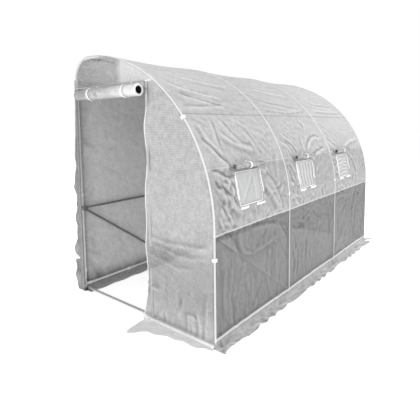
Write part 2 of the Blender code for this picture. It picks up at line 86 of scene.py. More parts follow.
MID_RAIL_Z, BASE_Z, PURLIN_DEG, TOP_RAIL_DEG = 0.76, 0.065, 54.0, 3.0
DOOR_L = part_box("door_zip_tape_left")[1].x
DOOR_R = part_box("door_zip_tape_right")[0].x
DOOR_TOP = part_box("door_sheet")[1].z
FILM_GREY = (0.50, 0.50, 0.505)
WHITE, NIGHT = 0.93, 0.02   # greys that a film's painted light and shade run to, at 1 and -1
AMBIENT = 0.55            # light from the white studio all round
FLOOR_GLOW = 0.50         # a lit white floor, so that it stays white where the film shades it
rng = np.random.default_rng(7)

# The cover's long folds: (y, height) along each, width, and depth (out is positive)
FOLDS = (
    # front bay
    (((-1.45, 1.40), (-1.38, 1.35), (-1.30, 1.26), (-1.22, 1.205)), 0.014, -0.015),
    (((-1.47, 1.19), (-1.38, 1.17), (-1.30, 1.125), (-1.21, 1.13)), 0.012, -0.013),
    (((-1.46, 1.06), (-1.37, 1.07), (-1.29, 0.99), (-1.22, 0.92)), 0.011, -0.010),
    (((-1.36, 1.09), (-1.31, 1.02), (-1.27, 0.95)), 0.010, 0.011),
    (((-1.30, 1.14), (-1.26, 1.08), (-1.235, 1.02)), 0.010, -0.011),
    (((-1.42, 1.12), (-1.37, 1.03), (-1.35, 0.94)), 0.010, 0.008),
    (((-1.42, 1.50), (-1.39, 1.38), (-1.27, 1.27)), 0.014, 0.009),
    (((-1.24, 1.52), (-1.25, 1.44), (-1.27, 1.33)), 0.014, -0.007),
    (((-1.13, 1.53), (-1.07, 1.44), (-0.98, 1.36), (-0.86, 1.32)), 0.016, -0.008),
    (((-1.22, 1.41), (-1.08, 1.34), (-0.88, 1.285)), 0.014, 0.008),
    (((-0.94, 1.50), (-0.84, 1.38), (-0.78, 1.24)), 0.014, -0.006),
    (((-1.45, 0.777), (-1.35, 0.734), (-1.27, 0.655), (-1.20, 0.57)), 0.016, -0.010),
    (
        ((-1.25, 0.755), (-1.22, 0.65), (-1.165, 0.565), (-1.05, 0.53), (-0.88, 0.545), (-0.69, 0.58)),
        0.016, 0.013,
    ),
    (((-1.09, 0.75), (-0.98, 0.735), (-0.70, 0.71)), 0.013, -0.008),
    (((-1.40, 0.52), (-1.41, 0.33), (-1.40, 0.15)), 0.013, 0.008),
    (((-1.30, 0.46), (-1.31, 0.28), (-1.30, 0.09)), 0.013, -0.007),
    (((-0.88, 0.27), (-0.98, 0.155), (-1.07, 0.09)), 0.014, 0.008),
    (((-0.85, 1.03), (-0.77, 0.94), (-0.68, 0.82)), 0.018, 0.009),
    (((-0.80, 1.13), (-0.70, 1.02), (-0.60, 0.84)), 0.020, -0.008),
    # middle bay
    (((-0.44, 1.36), (-0.32, 1.31), (-0.27, 1.225)), 0.013, -0.012),
    (((-0.38, 1.40), (-0.24, 1.33), (-0.16, 1.23)), 0.013, 0.009),
    (((0.13, 1.54), (0.18, 1.48), (0.16, 1.42)), 0.013, 0.008),
    (((0.03, 1.25), (0.10, 1.31), (0.20, 1.355), (0.32, 1.37), (0.41, 1.34)), 0.011, -0.012),
    (((0.07, 1.17), (0.22, 1.21), (0.41, 1.255)), 0.011, -0.012),
    (((-0.01, 1.35), (-0.02, 1.30), (-0.04, 1.235)), 0.011, 0.008),
    (((-0.36, 0.64), (-0.22, 0.61), (-0.08, 0.655)), 0.016, 0.009),
    (((-0.41, 0.42), (-0.36, 0.27), (-0.38, 0.16)), 0.013, 0.009),
    (((-0.21, 0.41), (-0.24, 0.28), (-0.22, 0.15)), 0.013, -0.009),
    (((-0.30, 0.40), (-0.30, 0.26), (-0.31, 0.14)), 0.011, 0.008),
    (((-0.10, 0.46), (-0.13, 0.30), (-0.12, 0.12)), 0.013, 0.008),
    (((-0.46, 0.61), (-0.36, 0.56), (-0.24, 0.565)), 0.014, -0.008),
    # rear bay
    (((0.53, 1.34), (0.63, 1.30), (0.75, 1.24)), 0.014, -0.012),
    (((0.96, 1.22), (1.20, 1.275), (1.45, 1.30)), 0.016, 0.012),
    (((1.00, 1.18), (1.15, 1.08), (1.22, 0.92)), 0.016, 0.009),
    (((1.20, 0.74), (1.10, 0.52), (1.06, 0.24)), 0.020, 0.009),
    (((1.36, 0.72), (1.30, 0.50), (1.20, 0.36)), 0.018, -0.008),
    (((0.56, 0.705), (0.66, 0.697), (0.79, 0.70)), 0.014, 0.009),
    # roof
    (((-1.39, 1.72), (-1.21, 1.69), (-0.94, 1.64)), 0.018, -0.009),
    (((-1.38, 1.75), (-1.21, 1.735), (-0.88, 1.68)), 0.018, 0.008),
    (((-1.39, 1.81), (-1.19, 1.75), (-0.98, 1.72)), 0.020, -0.009),
    (((-1.44, 1.61), (-1.26, 1.62), (-0.94, 1.635)), 0.014, -0.007),
    (((-1.20, 1.88), (-0.90, 1.83), (-0.62, 1.80)), 0.020, 0.008),
    (((-0.44, 1.72), (-0.10, 1.69), (0.30, 1.65)), 0.018, -0.009),
    (((-0.40, 1.62), (0.00, 1.60), (0.42, 1.62)), 0.014, 0.007),
    (((-0.30, 1.84), (0.05, 1.80), (0.40, 1.77)), 0.020, 0.008),
    (((0.56, 1.76), (0.90, 1.71), (1.36, 1.69)), 0.018, -0.009),
    (((0.60, 1.64), (1.00, 1.62), (1.42, 1.63)), 0.014, 0.007),
)

# Lines along the side of the cover: height, half width, strength and grey
SEAMS = (
    (1.557, 0.0045, 0.45, 0.22),
    (1.190, 0.0030, 0.45, 0.90),
    (0.765, 0.0055, 0.70, 0.86),
    (0.066, 0.0100, 0.85, 0.93),
)


# Camera and light


def make_camera():
    data = bpy.data.cameras.new("view")
    data.sensor_width, data.lens = 36.0, 32.91
    data.shift_x, data.shift_y = -0.009, -0.1113
    camera = bpy.data.objects.new("view", data)
    bpy.context.scene.collection.objects.link(camera)
    yaw, pitch, roll = 0.6773, 0.0972, -0.011
    forward = Vector((-math.sin(yaw) * math.cos(pitch), math.cos(yaw) * math.cos(pitch), -math.sin(pitch)))
    side = Vector((math.cos(yaw), math.sin(yaw), 0.0))
    up = side.cross(forward)
    right = side * math.cos(roll) + up * math.sin(roll)
    top = up * math.cos(roll) - side * math.sin(roll)
    turn = Matrix((right, top, -forward)).transposed().to_4x4()
    camera.matrix_world = Matrix.Translation((3.0134 + BACK_X, -1.8788 + FRONT_Y, 1.4696)) @ turn
    bpy.context.scene.camera = camera


def area_light(name, place, target, size, power):
    data = bpy.data.lights.new(name, "AREA")
    data.shape, data.size, data.energy = "DISK", size, power
    lamp = bpy.data.objects.new(name, data)
    bpy.context.scene.collection.objects.link(lamp)
    lamp.location = place
    lamp.rotation_euler = (Vector(target) - Vector(place)).to_track_quat("-Z", "Y").to_euler()


def studio():
    world = bpy.data.worlds.new("studio")
    bpy.context.scene.world = world
    world.use_nodes = True
    background = world.node_tree.nodes["Background"]
    background.inputs["Color"].default_value = (1.0, 1.0, 1.0, 1.0)
    rays = world.node_tree.nodes.new("ShaderNodeLightPath")
    seen = world.node_tree.nodes.new("ShaderNodeMapRange")
    seen.inputs["To Min"].default_value, seen.inputs["To Max"].default_value = AMBIENT, 1.0
    world.node_tree.links.new(rays.outputs["Is Camera Ray"], seen.inputs["Value"])
    world.node_tree.links.new(seen.outputs["Result"], background.inputs["Strength"])
    bpy.context.scene.view_settings.view_transform = "Standard"
    area_light("key", (5.2, 2.4, 5.0), (0.3, 0.6, 1.0), 1.6, 225.0)
    area_light("front", (1.0, -7.5, 4.5), (0.0, -1.0, 0.9), 3.0, 190.0)
    area_light("top", (-1.5, 1.5, 7.0), (0.0, 0.5, 1.0), 4.0, 150.0)
    bm = bmesh.new()
    bmesh.ops.create_grid(bm, x_segments=8, y_segments=8, size=60.0)
    bmesh.ops.translate(bm, verts=bm.verts, vec=(0, 0, -0.0006))
    white = paint("floor_white", (0.93, 0.93, 0.93), 0.9)
    shader = white.node_tree.nodes["Principled BSDF"]
    shader.inputs["Emission Color"].default_value = (1.0, 1.0, 1.0, 1.0)
    shader.inputs["Emission Strength"].default_value = FLOOR_GLOW
    floor = mesh_object("floor", bm, white)


# Materials


def paint(name, colour, roughness, metallic=0.0):
    made = bpy.data.materials.new(name)
    made.use_nodes = True
    shader = made.node_tree.nodes["Principled BSDF"]
    shader.inputs["Base Color"].default_value = (*colour, 1.0)
    shader.inputs["Roughness"].default_value = roughness
    shader.inputs["Metallic"].default_value = metallic
    return made


class Nodes:
    """Short names for building a material's node tree."""

    def __init__(self, mat):
        self.tree = mat.node_tree
        self.shader = self.tree.nodes["Principled BSDF"]

    def add(self, kind, **values):
        node = self.tree.nodes.new(kind)
        for key, value in values.items():
            if hasattr(node, key):
                setattr(node, key, value)
            else:
                node.inputs[key.replace("_", " ")].default_value = value
        return node

    def link(self, start, end):
        self.tree.links.new(start, end)

    def math(self, operation, a, b=None):
        node = self.tree.nodes.new("ShaderNodeMath")
        node.operation = operation
        for socket, value in zip(node.inputs, (a, b)):
            if value is None:
                continue
            if isinstance(value, (int, float)):
                socket.default_value = value
            else:
                self.link(value, socket)
        return node.outputs[0]

    def times(self, *factors):
        product = factors[0]
        for factor in factors[1:]:
            product = self.math("MULTIPLY", product, factor)
        return product

    def mix(self, factor, a, b):
        node = self.tree.nodes.new("ShaderNodeMix")
        node.data_type = "RGBA"
        for socket, value in ((node.inputs[0], factor), (node.inputs[6], a), (node.inputs[7], b)):
            if isinstance(value, tuple):
                socket.default_value = (*value, 1.0)
            elif isinstance(value, (int, float)):
                socket.default_value = value
            else:
                self.link(value, socket)
        return node.outputs[2]

    def tint(self, tone, amount, grey):
        return self.mix(amount, tone, (grey, grey, grey))

    def lit(self, tone, light, dark):
        """The tone moved towards white where light is positive and towards dark where it is negative."""
        tone = self.tint(tone, self.math("MAXIMUM", light, 0.0), WHITE)
        return self.tint(tone, self.math("MAXIMUM", self.times(light, -1.0), 0.0), dark)

    def bump(self, height, distance, strength=1.0):
        node = self.add("ShaderNodeBump", Strength=strength, Distance=distance)
        self.link(height, node.inputs["Height"])
        self.link(node.outputs["Normal"], self.shader.inputs["Normal"])

    def noise(self, scale, detail=3.0, source=None, roughness=0.55):
        node = self.add("ShaderNodeTexNoise", Scale=scale, Detail=detail, Roughness=roughness)
        if source is not None:
            self.link(source, node.inputs["Vector"])
        return node.outputs["Fac"]

    def ramp(self, value, low, high):
        """0 up to low and 1 from high, and the other way round when low is the larger."""
        node = self.tree.nodes.new("ShaderNodeMapRange")
        node.interpolation_type = "SMOOTHSTEP"
        node.inputs["From Min"].default_value, node.inputs["From Max"].default_value = low, high
        self.link(value, node.inputs["Value"])
        return node.outputs["Result"]

    def threads(self, split, pitch, low, high):
        """1 on the threads of a square weave, over the flat cloth."""
        lines = []
        for axis in (0, 1):
            wave = self.math("COSINE", self.times(split.outputs[axis], 2.0 * math.pi / pitch))
            lines.append(self.ramp(wave, low, high))
        return self.math("MAXIMUM", *lines)

    def cloth(self):
        """The place on the flat cloth, split into its two coordinates."""
        split = self.add("ShaderNodeSeparateXYZ")
        self.link(self.add("ShaderNodeUVMap", uv_map="cloth").outputs["UV"], split.inputs[0])
        return split

    def place(self):
        return self.add("ShaderNodeTexCoord").outputs["Object"]

    def light(self):
        return self.add("ShaderNodeAttribute", attribute_name="light").outputs["Fac"]


def film_material(name, colour, alpha, thread=0.5, strips=None, post=False, clearer=0.0, bands=False):
    """Milky film over a woven grid. The UV map is the flat cloth in metres; the painted light and shade of
    the light attribute shift its tone, and noise adds cloudy tone and painted crinkle shade.
    """
    mat = paint(name, colour, 0.40)
    n = Nodes(mat)
    split, place, light = n.cloth(), n.place(), n.light()
    cloudy = n.noise(2.6, 4.0, place)
    fine = n.noise(42.0, 3.0, place)
    patchy = n.math("ADD", 0.45, n.times(n.ramp(fine, 0.38, 0.62), 0.55))
    weave = n.times(n.threads(split, MESH_PITCH, 0.35, 0.95), patchy)
    creased = n.ramp(n.noise(17.0, 6.0, place, 0.68), 0.34, 0.66)
    shade = n.math("ADD", n.times(cloudy, 0.45), n.times(creased, 0.55))
    tone = n.mix(shade, tuple(c * 1.20 for c in colour), tuple(c * 0.80 for c in colour))
    tone = n.tint(tone, n.times(weave, thread), 0.90)
    opacity = n.math("ADD", alpha, n.times(weave, 0.22))
    # where the header is painted dark, the film is made clearer too
    if clearer:
        header = n.ramp(split.outputs[1], DOOR_TOP - 0.03, DOOR_TOP + 0.01)
        opacity = n.math("ADD", opacity, n.times(light, header, clearer))
    tone = n.lit(tone, light, NIGHT)
    if post:
        tone = post_line(n, split, tone)
    if bands:
        tone = side_bands(n, place, fine, tone)
    if strips:
        tone, opacity = hoop_strips(n, split, strips, tone, opacity)
    n.link(tone, n.shader.inputs["Base Color"])
    n.link(n.math("MINIMUM", opacity, 1.0), n.shader.inputs["Alpha"])
    crinkle = n.noise(22.0, 6.0, place, 0.66)
    n.bump(n.math("ADD", n.times(weave, 0.3), n.times(crinkle, 3.2)), 0.0022, 0.9)
    return mat


def post_line(n, split, tone):
    """The front post showing through the film: a light line between dark edges of painted shade."""
    near = n.math("ABSOLUTE", n.math("SUBTRACT", split.outputs[0], BACK_X + 0.001))
    shown = n.times(n.ramp(split.outputs[1], 1.72, 1.66), n.ramp(split.outputs[1], 0.01, 0.04))
    # painted shade along both sides of the post, then the light line over it
    tone = n.tint(tone, n.times(n.ramp(near, 0.0185, 0.0120), n.times(shown, 0.80)), 0.10)
    return n.tint(tone, n.times(n.ramp(near, 0.0075, 0.0045), shown), 0.72)


def side_bands(n, place, fine, tone):
    """Painted shade on the wall below the middle rail, and the seams along the side."""
    level = n.add("ShaderNodeSeparateXYZ")
    n.link(place, level.inputs[0])
    height = n.math("ADD", level.outputs[2], n.times(fine, 0.006))
    outer = n.ramp(level.outputs[0], 0.1, 0.3)
    # painted shade below the middle rail
    below = n.times(n.ramp(height, 0.768, 0.758), n.ramp(height, 0.040, 0.060))
    tone = n.tint(tone, n.times(below, 0.69), 0.03)
    for middle, half, amount, shown in SEAMS:
        near = n.math("ABSOLUTE", n.math("SUBTRACT", height, middle))
        tone = n.tint(tone, n.times(n.ramp(near, half * 1.5, half * 0.6), outer, amount), shown)
    return tone


def hoop_strips(n, split, strips, tone, opacity):
    """A pale strip over each hoop; strips holds where they fade in, are full and end along the cloth."""
    start, full, foot = strips
    turn = n.math("FRACT", n.math("ADD", split.outputs[0], 0.5))
    near = n.math("MINIMUM", turn, n.math("SUBTRACT", 1.0, turn))
    length = n.math("ABSOLUTE", split.outputs[0])
    fade = n.times(n.ramp(split.outputs[1], start, full), n.ramp(split.outputs[1], foot, foot - 0.03))
    strip = n.times(n.ramp(near, 0.0100, 0.0055), n.ramp(length, 1.40, 1.39), fade)
    end = n.times(n.ramp(length, 1.503, 1.508), fade)
    tone = n.tint(tone, n.times(strip, 0.62), 0.76)
    tone = n.tint(tone, n.times(end, 0.85), 0.84)
    return tone, n.math("MAXIMUM", opacity, n.math("MAXIMUM", strip, end))


def webbing_material(name, colour, pitch=0.0016):
    mat = paint(name, colour, 0.72)
    n = Nodes(mat)
    place = n.place()
    split = n.add("ShaderNodeSeparateXYZ")
    n.link(place, split.inputs[0])
    x, y, z = split.outputs
    across = n.math("SINE", n.times(n.math("ADD", x, z), 2.0 * math.pi / pitch))
    along = n.math("SINE", n.times(n.math("SUBTRACT", y, z), 2.0 * math.pi / pitch))
    worn = n.noise(60.0, 3.0, place)
    tone = n.mix(worn, tuple(c * 1.04 for c in colour), tuple(c * 0.84 for c in colour))
    n.link(tone, n.shader.inputs["Base Color"])
    n.bump(n.math("ADD", n.times(across, along), worn), 0.0004, 0.5)
    return mat


def steel_material(name, colour, roughness, metallic):
    """Galvanised steel: a faint spangle, dull streaks and darker scuffs."""
    mat = paint(name, colour, roughness, metallic)
    n = Nodes(mat)
    place = n.place()
    cells = n.add("ShaderNodeTexVoronoi", Scale=95.0)
    n.link(place, cells.inputs["Vector"])
    streak = n.noise(14.0, 5.0, place)
    fine = n.noise(220.0, 2.0, place)
    mixed = n.math("ADD", n.times(streak, 0.7), n.times(cells.outputs["Distance"], 0.5))
    tone = n.mix(mixed, tuple(c * 1.1 for c in colour), tuple(c * 0.72 for c in colour))
    n.link(tone, n.shader.inputs["Base Color"])
    n.link(n.math("ADD", roughness - 0.10, n.times(streak, 0.22)), n.shader.inputs["Roughness"])
    n.bump(n.math("ADD", fine, streak), 0.0002, 0.35)
    return mat


def plastic_material(name, colour, roughness):
    mat = paint(name, colour, roughness)
    n = Nodes(mat)
    place = n.place()
    grain = n.noise(420.0, 2.0, place)
    marks = n.noise(30.0, 4.0, place)
    n.link(n.mix(marks, colour, tuple(c * 0.82 for c in colour)), n.shader.inputs["Base Color"])
    n.link(n.math("ADD", roughness - 0.08, n.times(marks, 0.18)), n.shader.inputs["Roughness"])
    n.bump(grain, 0.0001, 0.3)
    return mat


def screen_material(name):
    """Fine open insect mesh."""
    mat = paint(name, (0.70, 0.70, 0.71), 0.7)
    n = Nodes(mat)
    weave = n.threads(n.cloth(), 0.0028, -0.1, 0.5)
    worn = n.noise(16.0, 4.0, n.place())
    tone = n.mix(worn, (0.74, 0.74, 0.74), (0.54, 0.545, 0.55))
    n.link(n.lit(tone, n.light(), 0.06), n.shader.inputs["Base Color"])
    n.link(n.math("ADD", 0.45, n.times(weave, 0.40)), n.shader.inputs["Alpha"])
    n.bump(weave, 0.0004, 0.5)
    return mat


# Mesh helpers


def mesh_object(name, bm, mat):
    mesh = bpy.data.meshes.new(name)
    bm.normal_update()
    bm.to_mesh(mesh)
    bm.free()
    mesh.shade_smooth()
    mesh.set_sharp_from_angle(angle=math.radians(48))
    mesh.materials.append(mat)
    obj = bpy.data.objects.new(name, mesh)
    bpy.context.scene.collection.objects.link(obj)
    return obj


def grid_mesh(name, points, cloth, mat, keep=None):
    """A sheet through points[row][column]; cloth holds each point's place on the flat film, in metres."""
    rows, columns = points.shape[:2]
    bm = bmesh.new()
    layer = bm.loops.layers.uv.new("cloth")
    verts = [[bm.verts.new(points[i, j]) for j in range(columns)] for i in range(rows)]
    for i in range(rows - 1):
        for j in range(columns - 1):
            if keep is not None and not keep[i, j]:
                continue
            corners = ((i, j), (i + 1, j), (i + 1, j + 1), (i, j + 1))
            face = bm.faces.new([verts[a][b] for a, b in corners])
            for loop, (a, b) in zip(face.loops, corners):
                loop[layer].uv = cloth[a, b]
    bmesh.ops.delete(bm, geom=[v for v in bm.verts if not v.link_faces], context="VERTS")
    return mesh_object(name, bm, mat)


def outline_mesh(name, outline, spacing, place, mat):
    """A flat film of any outline, filled with even triangles; place turns (a, b) into a point."""
    edge = []
    for (a0, b0), (a1, b1) in zip(outline, outline[1:] + outline[:1]):
        steps = max(1, round(math.hypot(a1 - a0, b1 - b0) / spacing))
        edge += [(a0 + (a1 - a0) * k / steps, b0 + (b1 - b0) * k / steps) for k in range(steps)]
    ring = np.array(edge)
    low, high = ring.min(0), ring.max(0)
    inside = []
    row = 0
    b = low[1] + spacing * 0.6
    while b < high[1]:
        a = low[0] + spacing * (0.5 if row % 2 else 1.0)
        while a < high[0]:
            if (np.hypot(ring[:, 0] - a, ring[:, 1] - b)).min() > spacing * 0.62:
                inside.append((a, b))
            a += spacing
        b += spacing * 0.87
        row += 1
    count = len(edge)
    loop = [(i, (i + 1) % count) for i in range(count)]
    verts, _, faces, *_ = geometry.delaunay_2d_cdt(
        [Vector(p) for p in edge + inside], loop, [list(range(count))], 1, 1e-6
    )
    flat = np.array([tuple(v) for v in verts])
    points = place(flat)
    bm = bmesh.new()
    layer = bm.loops.layers.uv.new("cloth")
    made = [bm.verts.new(p) for p in points]
    for face in faces:
        new = bm.faces.new([made[k] for k in face])
        for corner, k in zip(new.loops, face):
            corner[layer].uv = flat[k]
    bmesh.ops.delete(bm, geom=[v for v in bm.verts if not v.link_faces], context="VERTS")
    return mesh_object(name, bm, mat)


def thicken(obj, thickness=FILM, offset=1.0):
    modifier = obj.modifiers.new("film", "SOLIDIFY")
    modifier.thickness, modifier.offset = thickness, offset
    return obj


def applied(obj):
    """The same object with its modifiers made part of its mesh."""
    bpy.context.view_layer.update()
    mesh = bpy.data.meshes.new_from_object(obj.evaluated_get(bpy.context.evaluated_depsgraph_get()))
    obj.modifiers.clear()
    old, obj.data = obj.data, mesh
    bpy.data.meshes.remove(old)
    return obj


def skin(bm, rings, closed=False):
    """Faces from each ring of points to the next: capped at both ends, or closed into a loop."""
    count = len(rings[0])
    for lower, upper in zip(rings, rings[1:] + rings[:1] if closed else rings[1:]):
        for k in range(count):
            n = (k + 1) % count
            bm.faces.new((lower[k], lower[n], upper[n], upper[k]))
    if not closed:
        bm.faces.new(list(reversed(rings[0])))
        bm.faces.new(rings[-1])


def sweep(bm, points, radii, sides=20):
    """Adds a tube along points, with a radius at each."""
    points = [Vector(p) for p in points]
    tangents = []
    for k in range(len(points)):
        ahead = points[min(k + 1, len(points) - 1)] - points[k]
        behind = points[k] - points[max(k - 1, 0)]
        tangent = Vector((0, 0, 0))
        for step in (ahead, behind):
            if step.length > 1e-9:
                tangent += step.normalized()
        tangents.append(tangent.normalized())
    normal = tangents[0].orthogonal().normalized()
    rings = []
    for point, tangent, radius in zip(points, tangents, radii):
        normal = (normal - tangent * normal.dot(tangent)).normalized()
        side = tangent.cross(normal)
        ring = []
        for k in range(sides):
            angle = 2.0 * math.pi * k / sides
            ring.append(bm.verts.new(point + (normal * math.cos(angle) + side * math.sin(angle)) * radius))
        rings.append(ring)
    skin(bm, rings)


def rounded_box(bm, middle, size, turn=None, bevel=0.001):
    made = bmesh.ops.create_cube(bm, size=1.0)["verts"]
    edges = list({e for v in made for e in v.link_edges})
    matrix = Matrix.Translation(middle) @ (turn or Matrix.Identity(4)) @ Matrix.Diagonal((*size, 1.0))
    bmesh.ops.transform(bm, matrix=matrix, verts=made)
    bmesh.ops.bevel(bm, geom=edges, offset=bevel, segments=2, affect="EDGES", profile=0.7)


# Creases


def blurred(field, times=6):
    """The field smoothed over a few cells."""
    for _ in range(times):
        padded = np.pad(field, 1, mode="edge")
        field = (
            2.0 * field + padded[:-2, 1:-1] + padded[2:, 1:-1] + padded[1:-1, :-2] + padded[1:-1, 2:]
        ) / 6.0
    return field


def fold_line(a, b, points, width, depth):
    """One long fold through points: a ridge with a trough beside it, fading at both ends."""
    nearest = np.full(a.shape, 9.0)
    signed, along = np.zeros(a.shape), np.zeros(a.shape)
    done = 0.0
    total = sum(math.dist(p, q) for p, q in zip(points, points[1:]))
    for (a0, b0), (a1, b1) in zip(points, points[1:]):
        length = math.dist((a0, b0), (a1, b1))
        da, db = (a1 - a0) / length, (b1 - b0) / length
        t = np.clip((a - a0) * da + (b - b0) * db, 0.0, length)
        ea, eb = a - a0 - t * da, b - b0 - t * db
        gap = np.hypot(ea, eb)
        closer = gap < nearest
        nearest = np.where(closer, gap, nearest)
        signed = np.where(closer, np.sign(da * eb - db * ea) * gap, signed)
        along = np.where(closer, (done + t) / total, along)
        done += length
    taper = smooth_step(np.minimum(along, 1.0 - along) / 0.16 + 0.12)
    ridge = np.exp(-np.sqrt((nearest / width) ** 2 + 0.04))
    trough = np.exp(-(((signed - 2.1 * width) / (1.7 * width)) ** 2))
    return depth * taper * (ridge - 0.6 * trough)


def smooth_step(x):
    x = np.clip(x, 0.0, 1.0)
    return x * x * (3.0 - 2.0 * x)


def creases(a, b, centres, angles, lengths, widths, depths, bends=None):
    """Sum of sharp folds over the flat film; each runs both ways from its centre along its angle."""
    total = np.zeros_like(a)
    bends = np.zeros(len(centres)) if bends is None else bends
    for (ca, cb), angle, length, width, depth, bend in zip(centres, angles, lengths, widths, depths, bends):
        da, db = a - ca, b - cb
        along = da * math.cos(angle) + db * math.sin(angle)
        across = -da * math.sin(angle) + db * math.cos(angle) - bend * along**2
        taper = smooth_step(1.25 * (1.0 - np.abs(along) / length))
        ridge = np.exp(-np.sqrt((across / width) ** 2 + 0.05))
        trough = np.exp(-np.sqrt(((across - 1.9 * width) / (1.5 * width)) ** 2 + 0.1))
        total += depth * taper * (ridge - 0.65 * trough)
    return total


def scatter(low, high, count, angle, spread, length, width, depth):
    """Random creases in a rectangle of the flat film; the last five are (mean, spread) or (least, most)."""
    centres = np.column_stack([rng.uniform(low[0], high[0], count), rng.uniform(low[1], high[1], count)])
    return (
        centres,
        rng.normal(angle, spread, count),
        rng.uniform(*length, count),
        rng.uniform(*width, count),
        rng.uniform(*depth, count) * rng.choice([-1.0, 1.0], count, p=[0.4, 0.6]),
        rng.normal(0.0, 0.25, count),
    )


def crumple(points, size, amount, seed=0.0):
    """Small sharp-edged noise at each point."""
    out = np.empty(len(points))
    for k, p in enumerate(points):
        q = Vector((p[0] / size + seed, p[1] / size - seed, p[2] / size + 2.0 * seed))
        value = 1.0 - 2.0 * abs(noise.noise(q))
        value += 0.5 * (1.0 - 2.0 * abs(noise.noise(q * 2.1 + Vector((5.2, 1.3, 9.1)))))
        out[k] = value - 1.0
    return out * amount


def crumple_flat(a, b, size, amount, seed):
    """The same noise over a flat film."""
    return crumple(np.column_stack([a, b, 0 * a]), size, amount, seed)


# The film over the hoops

CORNER_STEPS, ARCH_STEPS, WALL_STEPS = 24, 120, 40


def arch_point(degrees, lift=0.0):
    angle = math.radians(degrees)
    normal = Vector((math.sin(angle) / ARCH_A, 0.0, math.cos(angle) / ARCH_B)).normalized()
    point = Vector((ARCH_X + ARCH_A * math.sin(angle), 0.0, EAVE_Z + ARCH_B * math.cos(angle)))
    return point + normal * lift


def hoop_path(lift=0.0, low_z=0.0):
    """Dense points along a hoop's centre line, from the back post's corner bend to the ground."""
    points = []
    centre = Vector((BACK_X + CORNER_R, 0.0, TOP_Z - CORNER_R))
    for k in range(CORNER_STEPS):
        angle = math.radians(180.0 - 90.0 * k / CORNER_STEPS)
        points.append(centre + Vector((math.cos(angle), 0.0, math.sin(angle))) * (CORNER_R + lift))
    points += [arch_point(90.0 * k / ARCH_STEPS, lift) for k in range(ARCH_STEPS + 1)]
    for k in range(1, WALL_STEPS + 1):
        points.append(Vector((SIDE_X + lift, 0.0, EAVE_Z + (low_z - EAVE_Z) * k / WALL_STEPS)))
    return points


